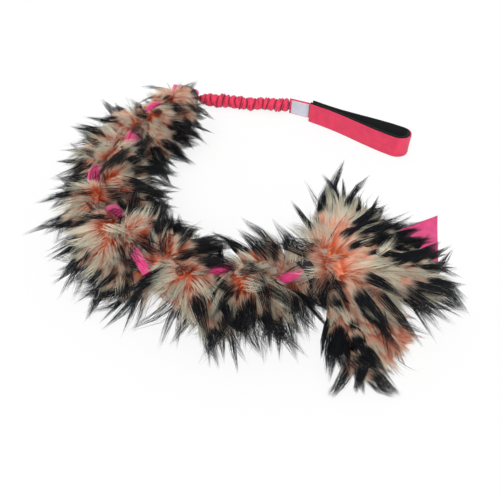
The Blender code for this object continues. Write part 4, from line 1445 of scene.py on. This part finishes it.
class TUGTOY_OT_stage(bpy.types.Operator):
    """Makes the floor, the lights and the camera"""

    bl_idname = "tugtoy.stage"
    bl_label = "Stage"

    def execute(self, context):
        scene = context.scene
        scene.view_settings.view_transform = "Standard"
        x, y, _ = Route().shift
        lens = bpy.data.cameras.new("camera")
        lens.sensor_width = 36.0
        lens.lens = LENS_MM
        lens.clip_start = 0.01
        scene.camera = bpy.data.objects.new("camera", lens)
        scene.camera.location = (x, y - CAMERA_AWAY, CAMERA_AWAY)
        scene.camera.rotation_euler = (math.radians(CAMERA_TILT), 0.0, 0.0)
        scene.collection.objects.link(scene.camera)

        floor = Finish("floor", roughness=0.9, gloss=0.1)
        floor.shader["Base Color"].default_value = (0.80, 0.80, 0.80, 1.0)
        seen = seen_by(floor, "Is Camera Ray", "Is Glossy Ray", "Is Transmission Ray")
        glow = floor.add("ShaderNodeEmission", {"Color": (1.0, 1.0, 1.0, 1.0), "Strength": 1.06})
        plain = Wire(floor, floor.tree.nodes["Principled BSDF"].outputs[0])
        blend = floor.add("ShaderNodeMixShader", {0: seen * 0.80, 1: plain, 2: glow})
        floor.feed(floor.tree.nodes["Material Output"].inputs["Surface"], blend)
        mesh = bpy.data.meshes.new("floor")
        corners = [(x * FLOOR_HALF, y * FLOOR_HALF, 0) for x, y in ((-1, -1), (1, -1), (1, 1), (-1, 1))]
        mesh.from_pydata(corners, [], [(0, 1, 2, 3)])
        show("floor", mesh, floor.material)

        world = scene.world = bpy.data.worlds.new("studio")
        world.use_nodes = True
        sky = Bench(world.node_tree)
        shine = sky.tree.nodes["Background"].inputs
        shine["Color"].default_value = (1.0, 1.0, 1.0, 1.0)
        seen = seen_by(sky, "Is Camera Ray", "Is Transmission Ray")
        sky.feed(shine["Strength"], seen.spread(0.0, 1.0, 0.62, 1.0))
        for name, (power, width, tilt) in LAMPS.items():
            light = bpy.data.lights.new(name, "SUN")
            light.energy = power
            light.angle = math.radians(width)
            lamp = bpy.data.objects.new(name, light)
            lamp.rotation_euler = [math.radians(a) for a in tilt]
            scene.collection.objects.link(lamp)
        return {"FINISHED"}


class TUGTOY_PT_panel(bpy.types.Panel):
    """Lists the toy's pieces in the sidebar"""

    bl_idname = "TUGTOY_PT_panel"
    bl_label = "Braided Tug Toy"
    bl_space_type = "VIEW_3D"
    bl_region_type = "UI"
    bl_category = "Tug Toy"

    def draw(self, context):
        for operator in OPERATORS:
            self.layout.operator(operator.bl_idname)


OPERATORS = (
    TUGTOY_OT_stage,
    TUGTOY_OT_fur_strips,
    TUGTOY_OT_fur_tails,
    TUGTOY_OT_fleece_strip,
    TUGTOY_OT_fleece_tail,
    TUGTOY_OT_whippings,
    TUGTOY_OT_strap,
    TUGTOY_OT_sleeve,
    TUGTOY_OT_handle,
    TUGTOY_OT_sewing,
    TUGTOY_OT_label,
)
CLASSES = (TugToyFur, TugToyCloth, *OPERATORS, TUGTOY_PT_panel)


def register():
    for made in CLASSES:
        bpy.utils.register_class(made)
    bpy.types.Scene.tug_toy_fur = PointerProperty(type=TugToyFur)
    bpy.types.Scene.tug_toy_cloth = PointerProperty(type=TugToyCloth)


def unregister():
    del bpy.types.Scene.tug_toy_cloth
    del bpy.types.Scene.tug_toy_fur
    for made in reversed(CLASSES):
        bpy.utils.unregister_class(made)


def main():
    register()
    for operator in OPERATORS:
        group, name = operator.bl_idname.split(".")
        getattr(getattr(bpy.ops, group), name)()


if __name__ == "__main__":
    main()
